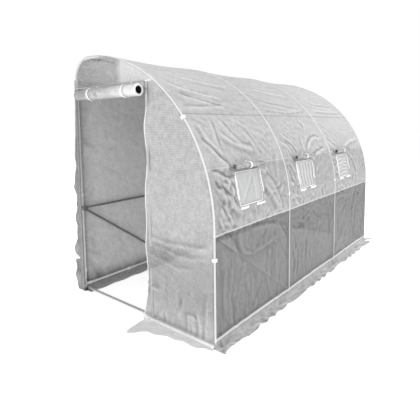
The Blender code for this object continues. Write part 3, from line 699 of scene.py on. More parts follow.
class Cover:
    """The roof and side film: one sheet laid over the hoops, with its own surface to sew things to."""

    LAP = 0.03
    FILLET = 0.022
    STEP = 0.0120

    def __init__(self):
        lap = [Vector((BACK_X - LIFT, 0.0, TOP_Z - CORNER_R - self.LAP * (1.0 - k / 4.0))) for k in range(4)]
        path = lap + hoop_path(LIFT, self.FILLET)
        centre = Vector((SIDE_X + LIFT + self.FILLET, 0.0, self.FILLET))
        for k in range(1, 9):
            angle = math.radians(180.0 + 90.0 * k / 8.0)
            path.append(centre + Vector((math.cos(angle), 0.0, math.sin(angle))) * (self.FILLET - 0.001))
        end = SIDE_X + RIGHT_REACH - 0.004
        start = path[-1].x
        path += [Vector((start + (end - start) * k / 6.0, 0.0, 0.001)) for k in range(1, 7)]
        self.path = np.array([(p.x, p.z) for p in path])
        steps = np.hypot(*np.diff(self.path, axis=0).T)
        self.length = np.concatenate([[0.0], np.cumsum(steps)])
        keys_s = [0.0, self.s_at(WINDOW_HIGH), self.s_at(WINDOW_LOW), self.s_at(MID_RAIL_Z)]
        keys_s += [self.s_at(self.FILLET), self.length[-1]]
        edges = [y + side * WINDOW_W / 2.0 for y in WINDOW_Y for side in (-1, 1)]
        keys_y = sorted(HOOP_Y + edges)
        self.s = self.lines(keys_s, self.STEP)
        self.y = self.lines(keys_y, self.STEP)
        self.sheet()

    @staticmethod
    def lines(keys, step):
        out = [np.array([keys[0]])]
        for a, b in zip(keys, keys[1:]):
            count = max(1, round((b - a) / step))
            out.append(np.linspace(a, b, count + 1)[1:])
        return np.concatenate(out)

    def s_at(self, z):
        """How far along the section the arch and the side wall have this height."""
        k = np.argmin(np.abs(self.path[:, 1] - z) + 10.0 * (self.path[:, 0] < ARCH_X + 0.3))
        return self.length[k]

    def section(self, s):
        """(x, z) and outward (x, z) of the undisturbed film."""
        x, z = (np.interp(s, self.length, self.path[:, k]) for k in (0, 1))
        h = 0.004
        dx, dz = (
            np.interp(s + h, self.length, self.path[:, k]) - np.interp(s - h, self.length, self.path[:, k])
            for k in (0, 1)
        )
        size = np.hypot(dx, dz)
        return x, z, -dz / size, dx / size

    def relief(self, s, y):
        """How far the film stands off its section, out being positive."""
        hoop = np.min([np.abs(y - h) for h in HOOP_Y], axis=0)
        span = 1.0 - (1.0 - np.clip(hoop / 0.5, 0.0, 1.0)) ** 2
        purlin = self.s_at(arch_point(PURLIN_DEG).z)
        top_rail, mid, ground = self.length[30], self.s_at(MID_RAIL_Z), self.s_at(0.0)
        rail = np.min([np.abs(s - r) for r in (top_rail, purlin, mid)], axis=0)
        sag = 0.004 + 0.010 * (1.0 - np.exp(-((rail / 0.13) ** 2)))
        out = -sag * span * smooth_step((ground - s) / 0.2)
        for line, width, depth in FOLDS:
            points = [(at_y, self.s_at(z)) for at_y, z in line]
            out += fold_line(y, s, points, width, depth)
        for index, (left, right) in enumerate(zip(HOOP_Y, HOOP_Y[1:])):
            out += self.bay_folds(index, left, right, s, y, purlin, mid, ground)
        out *= smooth_step((hoop - 0.011) / 0.055)
        base = np.abs(s - self.s_at(BASE_Z))
        depth = 0.0005 + 0.032 * smooth_step((hoop - 0.014) / 0.10)
        depth = np.minimum(depth, 0.014 + 0.02 * smooth_step((rail - 0.02) / 0.1))
        depth = np.where(s > mid, np.minimum(depth, 0.0165), depth)
        depth = np.minimum(depth, 0.012 + 0.01 * smooth_step((base - 0.01) / 0.04))
        return np.maximum(out, -depth)

    def bay_folds(self, index, left, right, s, y, purlin, mid, ground):
        """The many small folds of one bay."""
        out = np.zeros_like(s)
        roof = self.length[12]
        flap, low = self.s_at(1.20), self.s_at(WINDOW_LOW)
        near, far = WINDOW_Y[index] - 0.18, WINDOW_Y[index] + 0.18
        busy = (60, 30, 44)[index]
        groups = (
            ((left, roof), (right, purlin), 26, 0.16, 0.14, (0.18, 0.55), (0.010, 0.020), (0.0015, 0.0042)),
            ((left, purlin), (right, flap), 26, 0.75, 0.45, (0.10, 0.30), (0.0085, 0.014), (0.001, 0.0036)),
            ((left, flap), (near, mid), busy, 0.75, 0.75, (0.03, 0.11), (0.0085, 0.014), (0.003, 0.0085)),
            ((far, flap), (right, mid), busy // 2, -0.9, 0.6, (0.04, 0.14), (0.009, 0.016), (0.002, 0.0055)),
            ((near, low), (far, mid), 10, 0.2, 0.6, (0.05, 0.15), (0.009, 0.014), (0.0015, 0.0040)),
            ((left, mid), (right, mid + 0.30), 20, 0.5, 0.7, (0.08, 0.28), (0.010, 0.022), (0.002, 0.0065)),
            (
                (left, mid + 0.1), (right, ground - 0.12), 34, 1.45, 0.30,
                (0.10, 0.34), (0.0095, 0.020), (0.002, 0.0065),
            ),
            (
                (left, ground - 0.42), (right, ground), 40, 1.55, 0.22,
                (0.07, 0.22), (0.009, 0.014), (0.002, 0.0055),
            ),
        )
        for low_corner, high_corner, count, *rest in groups:
            out += creases(y, s, *scatter(low_corner, high_corner, count, *rest))
        return out

    def sheet(self):
        """The film's points over the hoops; wrapped turns it round the two end hoops."""
        y, s = np.meshgrid(self.y, self.s)
        lift = self.relief(s, y)
        x, z, nx, nz = self.section(s)
        flat = np.column_stack([x.ravel(), y.ravel(), z.ravel()])
        hoop = np.min([np.abs(y - h) for h in HOOP_Y], axis=0)
        lift = lift + crumple(flat, 0.075, 0.0016).reshape(x.shape) * smooth_step((hoop - 0.012) / 0.05)
        ground = self.s_at(0.0)
        on_ground = smooth_step((s - ground + 0.03) / 0.05)
        ruffle = 0.010 + 0.012 * np.sin(31.0 * y + 3.0 * np.sin(7.0 * y))
        ruffle += crumple(flat, 0.06, 0.012, 3.0).reshape(x.shape)
        lift = lift * (1.0 - on_ground) + np.maximum(ruffle, 0.0) * on_ground
        self.points = np.stack([x + nx * lift, y, z + nz * lift], axis=-1)
        self.shade = np.clip((lift - blurred(lift)) * 140.0, -0.45, 0.45)

    def wrapped(self):
        """The sheet with extra columns that turn round the end hoops to the end panels."""
        columns, cloth = [], []
        s = self.s
        x, z, nx, nz = self.section(s)
        turns = np.radians([90.0, 66.0, 44.0, 22.0])
        for angle in turns:
            c, d = math.cos(angle), math.sin(angle)
            shift = LIFT * (c - 1.0)
            column = np.column_stack([x + nx * shift, np.full_like(x, FRONT_Y - LIFT * d), z + nz * shift])
            column[:, 2] = np.maximum(column[:, 2], 0.001)
            columns.append(column)
            cloth.append(np.column_stack([np.full_like(s, FRONT_Y - LIFT * angle), s]))
        main = [self.points[:, j] for j in range(self.points.shape[1])]
        main_cloth = [np.column_stack([np.full_like(s, v), s]) for v in self.y]
        mirrored = []
        mirrored_cloth = []
        for column, flat in zip(reversed(columns), reversed(cloth)):
            back = column.copy()
            back[:, 1] = REAR_Y + (FRONT_Y - column[:, 1])
            mirrored.append(back)
            far = flat.copy()
            far[:, 0] = REAR_Y + (FRONT_Y - flat[:, 0])
            mirrored_cloth.append(far)
        points = np.stack(columns + main + mirrored, axis=1)
        flat = np.stack(cloth + main_cloth + mirrored_cloth, axis=1)
        return points, flat, len(columns)

    def at(self, s, y, lift=0.0):
        """Points on the creased film, moved outwards by lift."""
        s, y = np.broadcast_arrays(np.asarray(s, float), np.asarray(y, float))
        i = np.clip(np.searchsorted(self.s, s) - 1, 0, len(self.s) - 2)
        j = np.clip(np.searchsorted(self.y, y) - 1, 0, len(self.y) - 2)
        a = ((s - self.s[i]) / (self.s[i + 1] - self.s[i]))[..., None]
        b = ((y - self.y[j]) / (self.y[j + 1] - self.y[j]))[..., None]
        p = self.points
        near = p[i, j] * (1 - a) + p[i + 1, j] * a
        far = p[i, j + 1] * (1 - a) + p[i + 1, j + 1] * a
        _, _, nx, nz = self.section(s)
        return near * (1 - b) + far * b + np.stack([nx, np.zeros_like(nx), nz], axis=-1) * lift


def set_light(obj, values):
    """Per-vertex painted light and shade on the film's tone: 1 is white, -1 nearly black."""
    mesh = obj.data
    layer = mesh.attributes.get("light") or mesh.attributes.new("light", "FLOAT", "POINT")
    layer.data.foreach_set("value", np.asarray(values, np.float32))


def coords(obj):
    out = np.empty(len(obj.data.vertices) * 3)
    obj.data.vertices.foreach_get("co", out)
    return out.reshape(-1, 3)


def flip(obj):
    bm = bmesh.new()
    bm.from_mesh(obj.data)
    bmesh.ops.reverse_faces(bm, faces=bm.faces)
    bm.to_mesh(obj.data)
    bm.free()


def place_in_frame(obj, body, slot, *nodes):
    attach(obj, body)
    if nodes:
        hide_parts(*nodes)
    return obj


CORNER_S = 0.50           # from here up the front hoop's bare tube shows at the corner


def roof_film(cover):
    points, cloth, extra = cover.wrapped()
    rows, columns = points.shape[:2]
    keep = np.ones((rows - 1, columns - 1), bool)
    mid_s = (cover.s[:-1] + cover.s[1:]) / 2.0
    mid_y = (cover.y[:-1] + cover.y[1:]) / 2.0
    high, low = cover.s_at(WINDOW_HIGH), cover.s_at(WINDOW_LOW)
    for centre in WINDOW_Y:
        hole = ((mid_s > high) & (mid_s < low))[:, None] & (np.abs(mid_y - centre) < WINDOW_W / 2.0)[None, :]
        keep[:, extra : extra + len(mid_y)] &= ~hole
    keep[mid_s < CORNER_S, :extra] = False
    strips = (0.35, 0.75, cover.s_at(0.03))
    mat = film_material("film_roof", FILM_GREY, 0.60, thread=0.16, strips=strips, bands=True)
    obj = grid_mesh("roof_film", points, cloth, mat, keep)
    flip(obj)
    shade = np.zeros(points.shape[:2])
    shade[:, extra:-extra] = cover.shade
    used = np.zeros((rows, columns), bool)
    for i, j in ((0, 0), (1, 0), (0, 1), (1, 1)):
        used[i : rows - 1 + i, j : columns - 1 + j] |= keep
    set_light(obj, shade[used] + side_light(*coords(obj).T))
    applied(thicken(obj))
    place_in_frame(obj, "frame", "mesh_film", "roof_cover")


def side_light(x, y, z):
    """Painted light and shade on the cover: lighter to the top and the rear, painted shade low down, in a
    band above the middle rail and beside the front hoop, with the braces showing.
    """
    light = 0.14 * smooth_step((z - 1.10) / 0.5)
    light -= 0.12 * smooth_step((0.74 - z) / 0.1) * smooth_step((z - 0.25) / 0.3)
    light += 0.02 * smooth_step((0.045 - z) / 0.03)
    to_rear = smooth_step((y + 0.6) / 2.1)
    light += to_rear * (0.20 * smooth_step((z - 1.15) / 0.1) + 0.22 * smooth_step((0.80 - z) / 0.1))
    light -= 0.13 * smooth_step((1.22 - z) / 0.04) * smooth_step((z - 0.70) / 0.04)
    light -= 0.30 * np.exp(-(((y - FRONT_Y - 0.034) / 0.016) ** 2)) * smooth_step((0.95 - z) / 0.2)
    for end, inner in ((0, 1), (3, 2)):
        along = (y - HOOP_Y[end]) / (HOOP_Y[inner] - HOOP_Y[end])
        gap = z - (MID_RAIL_Z + (BASE_Z - MID_RAIL_Z) * along)
        on_brace = (along > 0.03) & (along < 0.97) & (x > SIDE_X - 0.05)
        light += 0.75 * np.exp(-((gap / 0.013) ** 2)) * on_brace
    return light


# End panels

FACE = LIFT + 0.0014      # hoop centre line to an end panel
ROOT = 0.02               # radius where a panel turns out on to the ground
EDGE_INSET = 0.0115       # inside a bare tube's centre line, where a panel's edge is hidden


def hoop_outline(offset, low_z=0.0):
    """(x, z) from the top of the back post over the arch to the ground."""
    return [(p.x, p.z) for p in hoop_path(offset, low_z)][::4] + [(SIDE_X + offset, low_z)]


def wavy(points, steps):
    """A smooth line through a few (x, z) points."""
    xs, zs = np.array(points, float).T
    t = np.linspace(0.0, len(points) - 1.0, steps)
    k = np.clip(t.astype(int), 0, len(points) - 2)
    f = t - k
    out = []
    for values in (xs, zs):
        padded = np.concatenate([[2 * values[0] - values[1]], values, [2 * values[-1] - values[-2]]])
        p0, p1, p2, p3 = (padded[k + j] for j in range(4))
        m1, m2 = (p2 - p0) / 2.0, (p3 - p1) / 2.0
        out.append(
            (2 * f**3 - 3 * f**2 + 1) * p1 + (f**3 - 2 * f**2 + f) * m1
            + (-2 * f**3 + 3 * f**2) * p2 + (f**3 - f**2) * m2
        )
    return list(zip(*out))


def edge_distance(a, b, lines):
    """Distance from each (a, b) to the nearest of these lines of points."""
    dense = []
    for line in lines:
        line = np.array(line)
        for p, q in zip(line[:-1], line[1:]):
            steps = max(2, int(np.hypot(*(q - p)) / 0.01))
            dense.append(p + (q - p) * np.linspace(0, 1, steps)[:, None])
    dense = np.concatenate(dense)
    out = np.full(a.shape, 9.0)
    for start in range(0, len(dense), 50):
        part = dense[start : start + 50]
        out = np.minimum(out, np.hypot(a[:, None] - part[:, 0], b[:, None] - part[:, 1]).min(1))
    return out

def outline_area(outline):
    crossed = (a0 * b1 - a1 * b0 for (a0, b0), (a1, b1) in zip(outline, outline[1:] + outline[:1]))
    return abs(sum(crossed)) / 2.0


class EndPanel:
    """An upright film over one end; heights below zero lie outwards on the ground."""

    def __init__(self, hoop, outward, relief, ruffle):
        self.face, self.outward = HOOP_Y[hoop] + outward * FACE, outward
        self.relief, self.ruffle = relief, ruffle

    def __call__(self, flat):
        a, b = flat[:, 0].copy(), flat[:, 1]
        turn = np.clip((ROOT * math.pi / 4.0 - b) / ROOT, 0.0, math.pi / 2.0)
        out = ROOT * (1.0 - np.cos(turn))
        z = ROOT * (1.0 - np.sin(turn)) + np.maximum(b - ROOT * math.pi / 4.0, 0.0)
        out += np.maximum(-b - ROOT * math.pi / 4.0, 0.0)
        lift = self.relief(a, b)
        up = self.ruffle(a, b) * smooth_step((-b - 0.01) / 0.03)
        y = self.face + self.outward * (out + lift * np.cos(turn))
        return np.column_stack([a, y, np.maximum(z + lift * np.sin(turn) * 0.3, 0.0) + 0.0012 + up])


def corner_outline():
    """The front film's edge: under the bare tube at the back corner, then lapped over the hoop."""
    path = hoop_path(0.0)
    edge = []
    done = 0.0
    for k in range(0, len(path), 4):
        p = path[k]
        done += (p - path[max(k - 4, 0)]).length
        ahead = path[min(k + 1, len(path) - 1)] - path[max(k - 1, 0)]
        out = Vector((-ahead.z, 0.0, ahead.x)).normalized()
        offset = -EDGE_INSET + 0.0155 * float(smooth_step((done - CORNER_S + 0.08) / 0.12))
        edge.append((p.x + out.x * offset, p.z + out.z * offset))
    return edge + [(SIDE_X + 0.004, 0.0)]


DOOR_HEM = [
    (0.152, DOOR_TOP), (0.149, 1.60), (0.129, 1.45), (0.136, 1.22), (0.122, 0.97), (0.113, 0.78),
    (0.107, 0.60), (0.125, 0.45), (0.112, 0.30), (0.096, 0.15), (0.078, 0.05), (0.062, 0.0),
]
LOOSE_EDGE = [
    (-0.013, 1.62), (-0.020, 1.50), (-0.046, 1.18), (-0.064, 0.90), (-0.058, 0.72), (-0.079, 0.50),
    (-0.086, 0.42), (-0.108, 0.345), (-0.104, 0.325), (-0.046, 0.292), (-0.052, 0.283), (-0.112, 0.262),
    (-0.119, 0.20), (-0.104, 0.11), (-0.086, 0.04), (-0.070, 0.0),
]
# Folds low on the front film, painted with light and shade, the last few fanning up from the base rail
PANEL_FOLDS = (
    (((0.115, 0.655), (0.32, 0.635), (0.52, 0.645), (0.74, 0.66)), 0.42),
    (((0.112, 0.60), (0.30, 0.585), (0.50, 0.56), (0.73, 0.60)), 0.30),
    (((0.110, 0.54), (0.26, 0.50), (0.44, 0.47), (0.60, 0.50)), 0.26),
    (((0.108, 0.30), (0.17, 0.27), (0.24, 0.27)), 0.34),
    (((0.30, 0.02), (0.31, 0.08), (0.30, 0.13)), 0.46),
    (((0.36, 0.02), (0.36, 0.07), (0.38, 0.12)), 0.34),
    (((0.20, 0.03), (0.24, 0.09), (0.30, 0.15)), 0.30),
    (((0.52, 0.03), (0.53, 0.09), (0.52, 0.16), (0.56, 0.165), (0.60, 0.15)), 0.60),
    (((0.56, 0.03), (0.57, 0.08), (0.55, 0.13)), 0.50),
    (((0.62, 0.02), (0.63, 0.09), (0.61, 0.20)), 0.55),
    (((0.68, 0.02), (0.68, 0.10), (0.70, 0.30)), 0.40),
    (((0.42, 0.10), (0.46, 0.20), (0.49, 0.27)), 0.30),
    (((0.16, 1.60), (0.30, 1.66), (0.46, 1.62)), 0.14),
    (((0.14, 1.30), (0.28, 1.24), (0.50, 1.22)), 0.10),
    (((0.13, 1.02), (0.22, 0.90), (0.38, 0.80), (0.52, 0.70)), 0.12),
    (((0.40, 1.15), (0.46, 1.02), (0.48, 0.86)), 0.10),
)
FRONT_SKIRT = (
    (0.062, 0.0), (0.086, -0.040), (0.121, -0.218), (0.205, -0.150),
    (0.319, -0.108), (0.457, -0.074), (0.634, -0.058), (0.756, -0.016),
)


def front_outline(arch, hem, loose):
    """Round the panel: arch, skirt, door hem, doorway and the loose film past the back post."""
    inner_edge = [(BACK_X - EDGE_INSET, 1.66), (BACK_X - EDGE_INSET, TOP_Z - CORNER_R)]
    jamb = [(DOOR_L, DOOR_TOP), (DOOR_L, 0.0)]
    outline = arch + wavy(FRONT_SKIRT, 40)[::-1] + hem[::-1] + jamb + loose[::-1] + inner_edge
    clean = [outline[0]]
    for p in outline[1:]:
        if math.hypot(p[0] - clean[-1][0], p[1] - clean[-1][1]) > 0.002:
            clean.append(p)
    return clean


def front_light(arch, x, y, z):
    """Painted light and shade on the front film: the doubled header darker to the left and lighter to the
    right, painted shade along its rim, on the shaded loose film and the low part, painted light and shade on
    its folds and painted light on the skirt.
    """
    in_header = z > DOOR_TOP
    header = -0.30 + 0.15 * smooth_step((x + 0.62) / 0.4) + 0.44 * smooth_step((x + 0.20) / 0.09)
    light = np.where(in_header, header, 0.02)
    rim = edge_distance(x, z, [arch])
    light -= 0.26 * smooth_step((0.026 - rim) / 0.012) * smooth_step((-0.22 - x) / 0.15) * in_header
    light += np.clip((FRONT_Y - FACE - y) * 26.0, -0.16, 0.22) * (z > 0.03)
    light -= 0.82 * (x < DOOR_L + 0.01) * smooth_step((DOOR_TOP + 0.02 - z) / 0.10)
    low_part = smooth_step((0.74 - z) / 0.22) * (0.35 + 0.65 * smooth_step((z - 0.10) / 0.16))
    light -= 0.42 * (x > 0.0) * low_part * (z > 0.02)
    for line, amount in PANEL_FOLDS:
        light += amount * fold_line(x, z, line, 0.009, 1.0)
    return light + 0.80 * (z < 0.04) * (x > 0.0)


def front_film():
    hem = wavy(DOOR_HEM, 90)
    loose = [(BACK_X + x, z) for x, z in wavy(LOOSE_EDGE, 80)]
    arch = corner_outline()
    outline = front_outline(arch, hem, loose)
    fixed = [arch, [(BACK_X, 0.0), (BACK_X, TOP_Z - CORNER_R)]]
    fans = [
        scatter((0.16, 0.9), (0.72, 1.75), 60, 1.75, 0.35, (0.08, 0.30), (0.009, 0.02), (0.001, 0.0035)),
        scatter((0.14, 0.55), (0.74, 1.3), 60, 1.2, 0.9, (0.03, 0.10), (0.007, 0.014), (0.0008, 0.0028)),
        scatter((0.12, 0.25), (0.74, 0.60), 30, -0.35, 0.12, (0.12, 0.34), (0.007, 0.013), (0.0015, 0.0045)),
        scatter((0.10, 0.0), (0.74, 0.35), 46, 1.5, 0.35, (0.05, 0.20), (0.007, 0.014), (0.0015, 0.005)),
        scatter((-0.70, 1.80), (0.10, 2.03), 20, 0.1, 0.5, (0.05, 0.25), (0.009, 0.02), (0.001, 0.003)),
        scatter((-0.86, 0.0), (BACK_X, 1.5), 40, 1.4, 0.4, (0.03, 0.15), (0.006, 0.012), (0.002, 0.006)),
    ]

    def relief(a, b):
        free = smooth_step((edge_distance(a, b, fixed) - 0.014) / 0.05)
        out = sum(creases(a, b, *fan) for fan in fans)
        along = np.interp(b, [p[1] for p in reversed(hem)], [p[0] for p in reversed(hem)])
        out += 0.007 * np.exp(-(((a - along) / 0.05) ** 2)) * np.sin(b * 13.0 + 1.3) * (b < DOOR_TOP)
        out += crumple_flat(a, b, 0.06, 0.0014, 1.0)
        loose_side = smooth_step((BACK_X - 0.012 - a) / 0.05)
        out += loose_side * (0.010 * np.sin(b * 21.0) + 0.006 * np.sin(b * 47.0 + 2.0))
        header = smooth_step((b - DOOR_TOP) / 0.03)
        return np.clip(out * free * (1.0 - 0.5 * header), -0.012, 0.016)

    def ruffle(a, b):
        wave = 0.5 + 0.5 * np.sin(a * 38.0 + 9.0 * b)
        return 0.010 * wave + np.maximum(crumple_flat(a, b, 0.05, 0.012, 4.0), 0.0)

    panel = EndPanel(0, -1.0, relief, ruffle)
    mat = film_material("film_front", FILM_GREY, 0.56, thread=0.40, post=True, clearer=0.95)
    obj = outline_mesh("front_film", outline, 0.0125, panel, mat)
    if obj.data.polygons[0].normal.y > 0:
        obj.data.flip_normals()
    set_light(obj, front_light(arch, *coords(obj).T))
    applied(thicken(obj))
    place_in_frame(obj, "frame", "mesh_film", "front_panel")
    outline_area(outline)
    seam_end = next(x for x, z in reversed(arch) if z > DOOR_TOP)
    seams = [
        [(start + (end - start) * k / steps, DOOR_TOP + 0.002) for k in range(steps + 1)]
        for start, end, steps in ((DOOR_R, seam_end, 20), (DOOR_L, DOOR_R, 40))
    ]
    binding("door_hem", panel, hem, 0.0045, BRIGHT_FILM)
    binding("header_seam", panel, seams[0], 0.004, BRIGHT_FILM)
    binding("header_hem", panel, seams[1], 0.004, TAPE)
    binding("loose_hem", panel, loose, 0.003, TAPE)


def binding(name, panel, line, half, mat):
    """A rolled and stitched edge along a line of the panel."""
    points = panel(np.array(line))
    points[:, 1] += panel.outward * 0.0009
    bm = bmesh.new()
    sweep_flat(bm, points, np.array([0.0, panel.outward, 0.0]), half, 0.0016)
    place_in_frame(mesh_object(name, bm, mat), "frame", "white_webbing")


def sweep_flat(bm, points, out, half, thick, sides=10):
    """A flattened tube through points, its thin way along out."""
    points = [Vector(p) for p in points]
    out = Vector(out)
    rings = []
    for k, point in enumerate(points):
        tangent = (points[min(k + 1, len(points) - 1)] - points[max(k - 1, 0)]).normalized()
        across = tangent.cross(out).normalized()
        up = across.cross(tangent).normalized()
        ring = []
        for j in range(sides):
            angle = 2.0 * math.pi * j / sides
            ring.append(
                bm.verts.new(point + across * (half * math.cos(angle)) + up * (thick * math.sin(angle)))
            )
        rings.append(ring)
    skin(bm, rings)
    bmesh.ops.recalc_face_normals(bm, faces=bm.faces)


def rear_film():
    arch = hoop_outline(0.004)
    back = [(BACK_X - FACE, TOP_Z - CORNER_R), (BACK_X - FACE, 0.0), (BACK_X - FACE, -0.12)]
    skirt = (
        (SIDE_X + 0.010, 0.0), (SIDE_X + 0.085, -0.105), (SIDE_X - 0.10, -0.105),
        (0.2, -0.125), (-0.4, -0.11), (BACK_X + 0.05, -0.125),
    )
    outline = arch + wavy(skirt, 60)[1:] + list(reversed(back))
    fixed = [arch, back[:2]]
    fans = [
        scatter((BACK_X, 1.1), (0.5, 1.95), 50, 1.5, 0.5, (0.10, 0.40), (0.012, 0.025), (0.002, 0.006)),
        scatter((BACK_X, 0.2), (SIDE_X, 1.1), 70, 1.45, 0.5, (0.08, 0.35), (0.010, 0.022), (0.002, 0.006)),
        scatter((BACK_X, 0.0), (SIDE_X, 0.3), 50, 1.5, 0.3, (0.05, 0.2), (0.008, 0.014), (0.002, 0.005)),
    ]

    def relief(a, b):
        free = smooth_step((edge_distance(a, b, fixed) - 0.014) / 0.05)
        out = sum(creases(a, b, *fan) for fan in fans) + crumple_flat(a, b, 0.07, 0.0014, 2.0)
        return np.clip(out * free, -0.012, 0.016)

    def ruffle(a, b):
        wave = 0.5 + 0.5 * np.sin(a * 33.0 + 8.0 * b)
        return 0.010 * wave + np.maximum(crumple_flat(a, b, 0.05, 0.010, 6.0), 0.0)

    panel = EndPanel(3, 1.0, relief, ruffle)
    mat = film_material("film_rear", (0.52, 0.52, 0.525), 0.62, thread=0.5)
    obj = outline_mesh("rear_film", outline, 0.018, panel, mat)
    if obj.data.polygons[0].normal.y < 0:
        obj.data.flip_normals()
    set_light(obj, np.zeros(len(obj.data.vertices)))
    applied(thicken(obj))
    place_in_frame(obj, "frame", "mesh_film", "rear_panel")
    outline_area(outline)


def back_wall_film():
    """The flat wall film, its edges turned round the end posts and its foot tucked in."""
    step, root, tuck = 0.018, 0.018, 0.095
    top = TOP_Z - CORNER_R + 0.002
    length = top + tuck
    ys = np.linspace(FRONT_Y, REAR_Y, round((REAR_Y - FRONT_Y) / step) + 1)
    ts = np.linspace(0.0, length, round(length / step) + 1)
    turns = np.radians([90.0, 60.0, 30.0])
    y, t = np.meshgrid(ys, ts)
    hoop = np.min([np.abs(y - h) for h in HOOP_Y], axis=0)
    groups = (
        ((FRONT_Y, 0.05), (REAR_Y, top), 150, 0.35, 0.5, (0.08, 0.35), (0.012, 0.026), (0.002, 0.005)),
        ((FRONT_Y, top - 0.5), (REAR_Y, top), 70, 1.5, 0.25, (0.05, 0.2), (0.010, 0.02), (0.002, 0.005)),
        (
            (FRONT_Y, top - 0.05), (REAR_Y, top + 0.02), 30, 0.1, 0.3,
            (0.05, 0.2), (0.010, 0.02), (0.002, 0.004),
        ),
    )
    folds = sum(creases(y, t, *scatter(*group)) for group in groups)
    lift = folds * smooth_step((hoop - 0.014) / 0.06) * smooth_step(t / 0.05)
    lift -= 0.010 * smooth_step((hoop - 0.02) / 0.3) * smooth_step(t / 0.3) * smooth_step((top - t) / 0.3)
    lift = np.clip(lift, -0.014, 0.016)
    turn = np.clip((t - top + root * math.pi / 4.0) / root, 0.0, math.pi / 2.0)
    out = root * (1.0 - np.cos(turn)) + np.maximum(t - top - root * math.pi / 4.0, 0.0)
    z = np.maximum(top - t - root * math.pi / 4.0, 0.0) + root * (1.0 - np.sin(turn)) + 0.0012
    wave = 0.004 * (1.0 + np.sin(y * 29.0)) * smooth_step((t - top - 0.02) / 0.03)
    x = BACK_X - LIFT + 0.0008 + out - lift * np.cos(turn)
    main = np.stack([x, y, z + wave], axis=-1)
    cloth = np.stack([y, t], axis=-1)
    upright = smooth_step((top - 0.03 - ts) / 0.02)
    ends, flats = [], []
    for sign, end in ((-1.0, FRONT_Y), (1.0, REAR_Y)):
        cols, flat = [], []
        for angle in turns:
            edge = main[:, 0 if sign < 0 else -1].copy()
            edge[:, 0] += LIFT * (1.0 - math.cos(angle)) * upright
            edge[:, 1] += sign * LIFT * math.sin(angle) * upright
            cols.append(edge)
            flat.append(np.column_stack([np.full_like(ts, end + sign * LIFT * angle), ts]))
        if sign > 0:
            cols, flat = cols[::-1], flat[::-1]
        ends.append(cols)
        flats.append(flat)
    points = np.stack(ends[0] + [main[:, j] for j in range(len(ys))] + ends[1], axis=1)
    flat = np.stack(flats[0] + [cloth[:, j] for j in range(len(ys))] + flats[1], axis=1)
    mat = film_material("film_back", FILM_GREY, 0.72, thread=0.18, strips=(0.0, 0.03, top - 0.02))
    obj = grid_mesh("back_wall_film", points, flat, mat)
    if obj.data.polygons[len(obj.data.polygons) // 2].normal.x > 0:
        obj.data.flip_normals()
    set_light(obj, wall_light(*coords(obj).T))
    applied(thicken(obj, offset=-1.0))
    place_in_frame(obj, "frame", "mesh_film", "back_wall_cover")


def wall_light(x, y, z):
    """Painted light and shade on the back wall: on its folds, and shade along the foot, the front post, the
    top and low down.
    """
    light = np.clip((BACK_X - LIFT - x) * -70.0, -0.34, 0.30) * (z > 0.03)
    light -= 0.42 * smooth_step((0.21 - z) / 0.13) * smooth_step((z - 0.03) / 0.01)
    light -= 0.34 * smooth_step((FRONT_Y + 0.052 - y) / 0.02)
    light -= 0.11 + 0.11 * smooth_step((z - 1.2) / 0.35)
    return light - 0.12 * smooth_step((0.8 - z) / 0.5)


# Tubes, rails and bolts

# Lit and shaded copies of one galvanised steel, lightest first: BRIGHT_STEEL with painted light, then
# THRESHOLD_STEEL, STEEL and SHADED_STEEL with ever more painted shade
STEEL = steel_material("galvanised_steel", (0.30, 0.305, 0.31), 0.42, 0.55)
BRIGHT_STEEL = steel_material("galvanised_steel_painted_light", (0.86, 0.865, 0.87), 0.38, 0.30)
THRESHOLD_STEEL = steel_material("galvanised_steel_painted_half_shade", (0.52, 0.525, 0.53), 0.42, 0.45)
SHADED_STEEL = steel_material("galvanised_steel_inner_painted_shade", (0.20, 0.205, 0.21), 0.45, 0.55)
TAPE = webbing_material("zip_tape", (0.52, 0.52, 0.525), 0.0022)
# a copy of the zip tape painted dark with shade
SHADED_TAPE = webbing_material("zip_tape_shaded", (0.17, 0.17, 0.175), 0.0022)
ZINC = steel_material("zinc_hardware", (0.62, 0.62, 0.63), 0.34, 0.85)
WHITE_PLASTIC = plastic_material("white_clip", (0.97, 0.97, 0.97), 0.38)
GREY_PLASTIC = plastic_material("zip_teeth", (0.50, 0.50, 0.51), 0.40)
DARK_RUBBER = plastic_material("dark_foot", (0.035, 0.035, 0.038), 0.62)
WEBBING = webbing_material("white_webbing", (0.97, 0.97, 0.97))
BRIGHT_FILM = webbing_material("bright_hem", (0.94, 0.94, 0.94), 0.0022)
ARCH_STEP_DEG = 1.5
JOINT_STEP = 24           # steps up the arch to the joint between roof tube and side tube
SHOULDER = 0.0021         # gap where one tube slides over the next
END_BEVEL = 0.0012
SPIGOT_R, SPIGOT_LENGTH = 0.0103, 0.04
TAB_FLAT, TAB_LEN, TAB_W, TAB_T = 0.047, 0.064, 0.026, 0.002
INWARD = {"back": Vector((1, 0, 0)), "side": Vector((-1, 0, 0))}
CROSS_Z = 0.030           # height of the rails across the two ends


def arch_normal(degrees):
    angle = math.radians(degrees)
    return Vector((math.sin(angle) / ARCH_A, 0.0, math.cos(angle) / ARCH_B)).normalized()


RAIL_LINES = (
    ("back_base_rail", Vector((BACK_X, 0, BASE_Z)), INWARD["back"]),
    ("back_mid_rail", Vector((BACK_X, 0, MID_RAIL_Z)), INWARD["back"]),
    ("top_rail", arch_point(TOP_RAIL_DEG), -arch_normal(TOP_RAIL_DEG)),
    ("roof_purlin", arch_point(PURLIN_DEG), -arch_normal(PURLIN_DEG)),
    ("side_mid_rail", Vector((SIDE_X, 0, MID_RAIL_Z)), INWARD["side"]),
    ("side_base_rail", Vector((SIDE_X, 0, BASE_Z)), INWARD["side"]),
)


def stacked(level):
    """Hoop centre line to the middle of the tab at this level."""
    return 0.0143 + (level - 1) * 0.0023


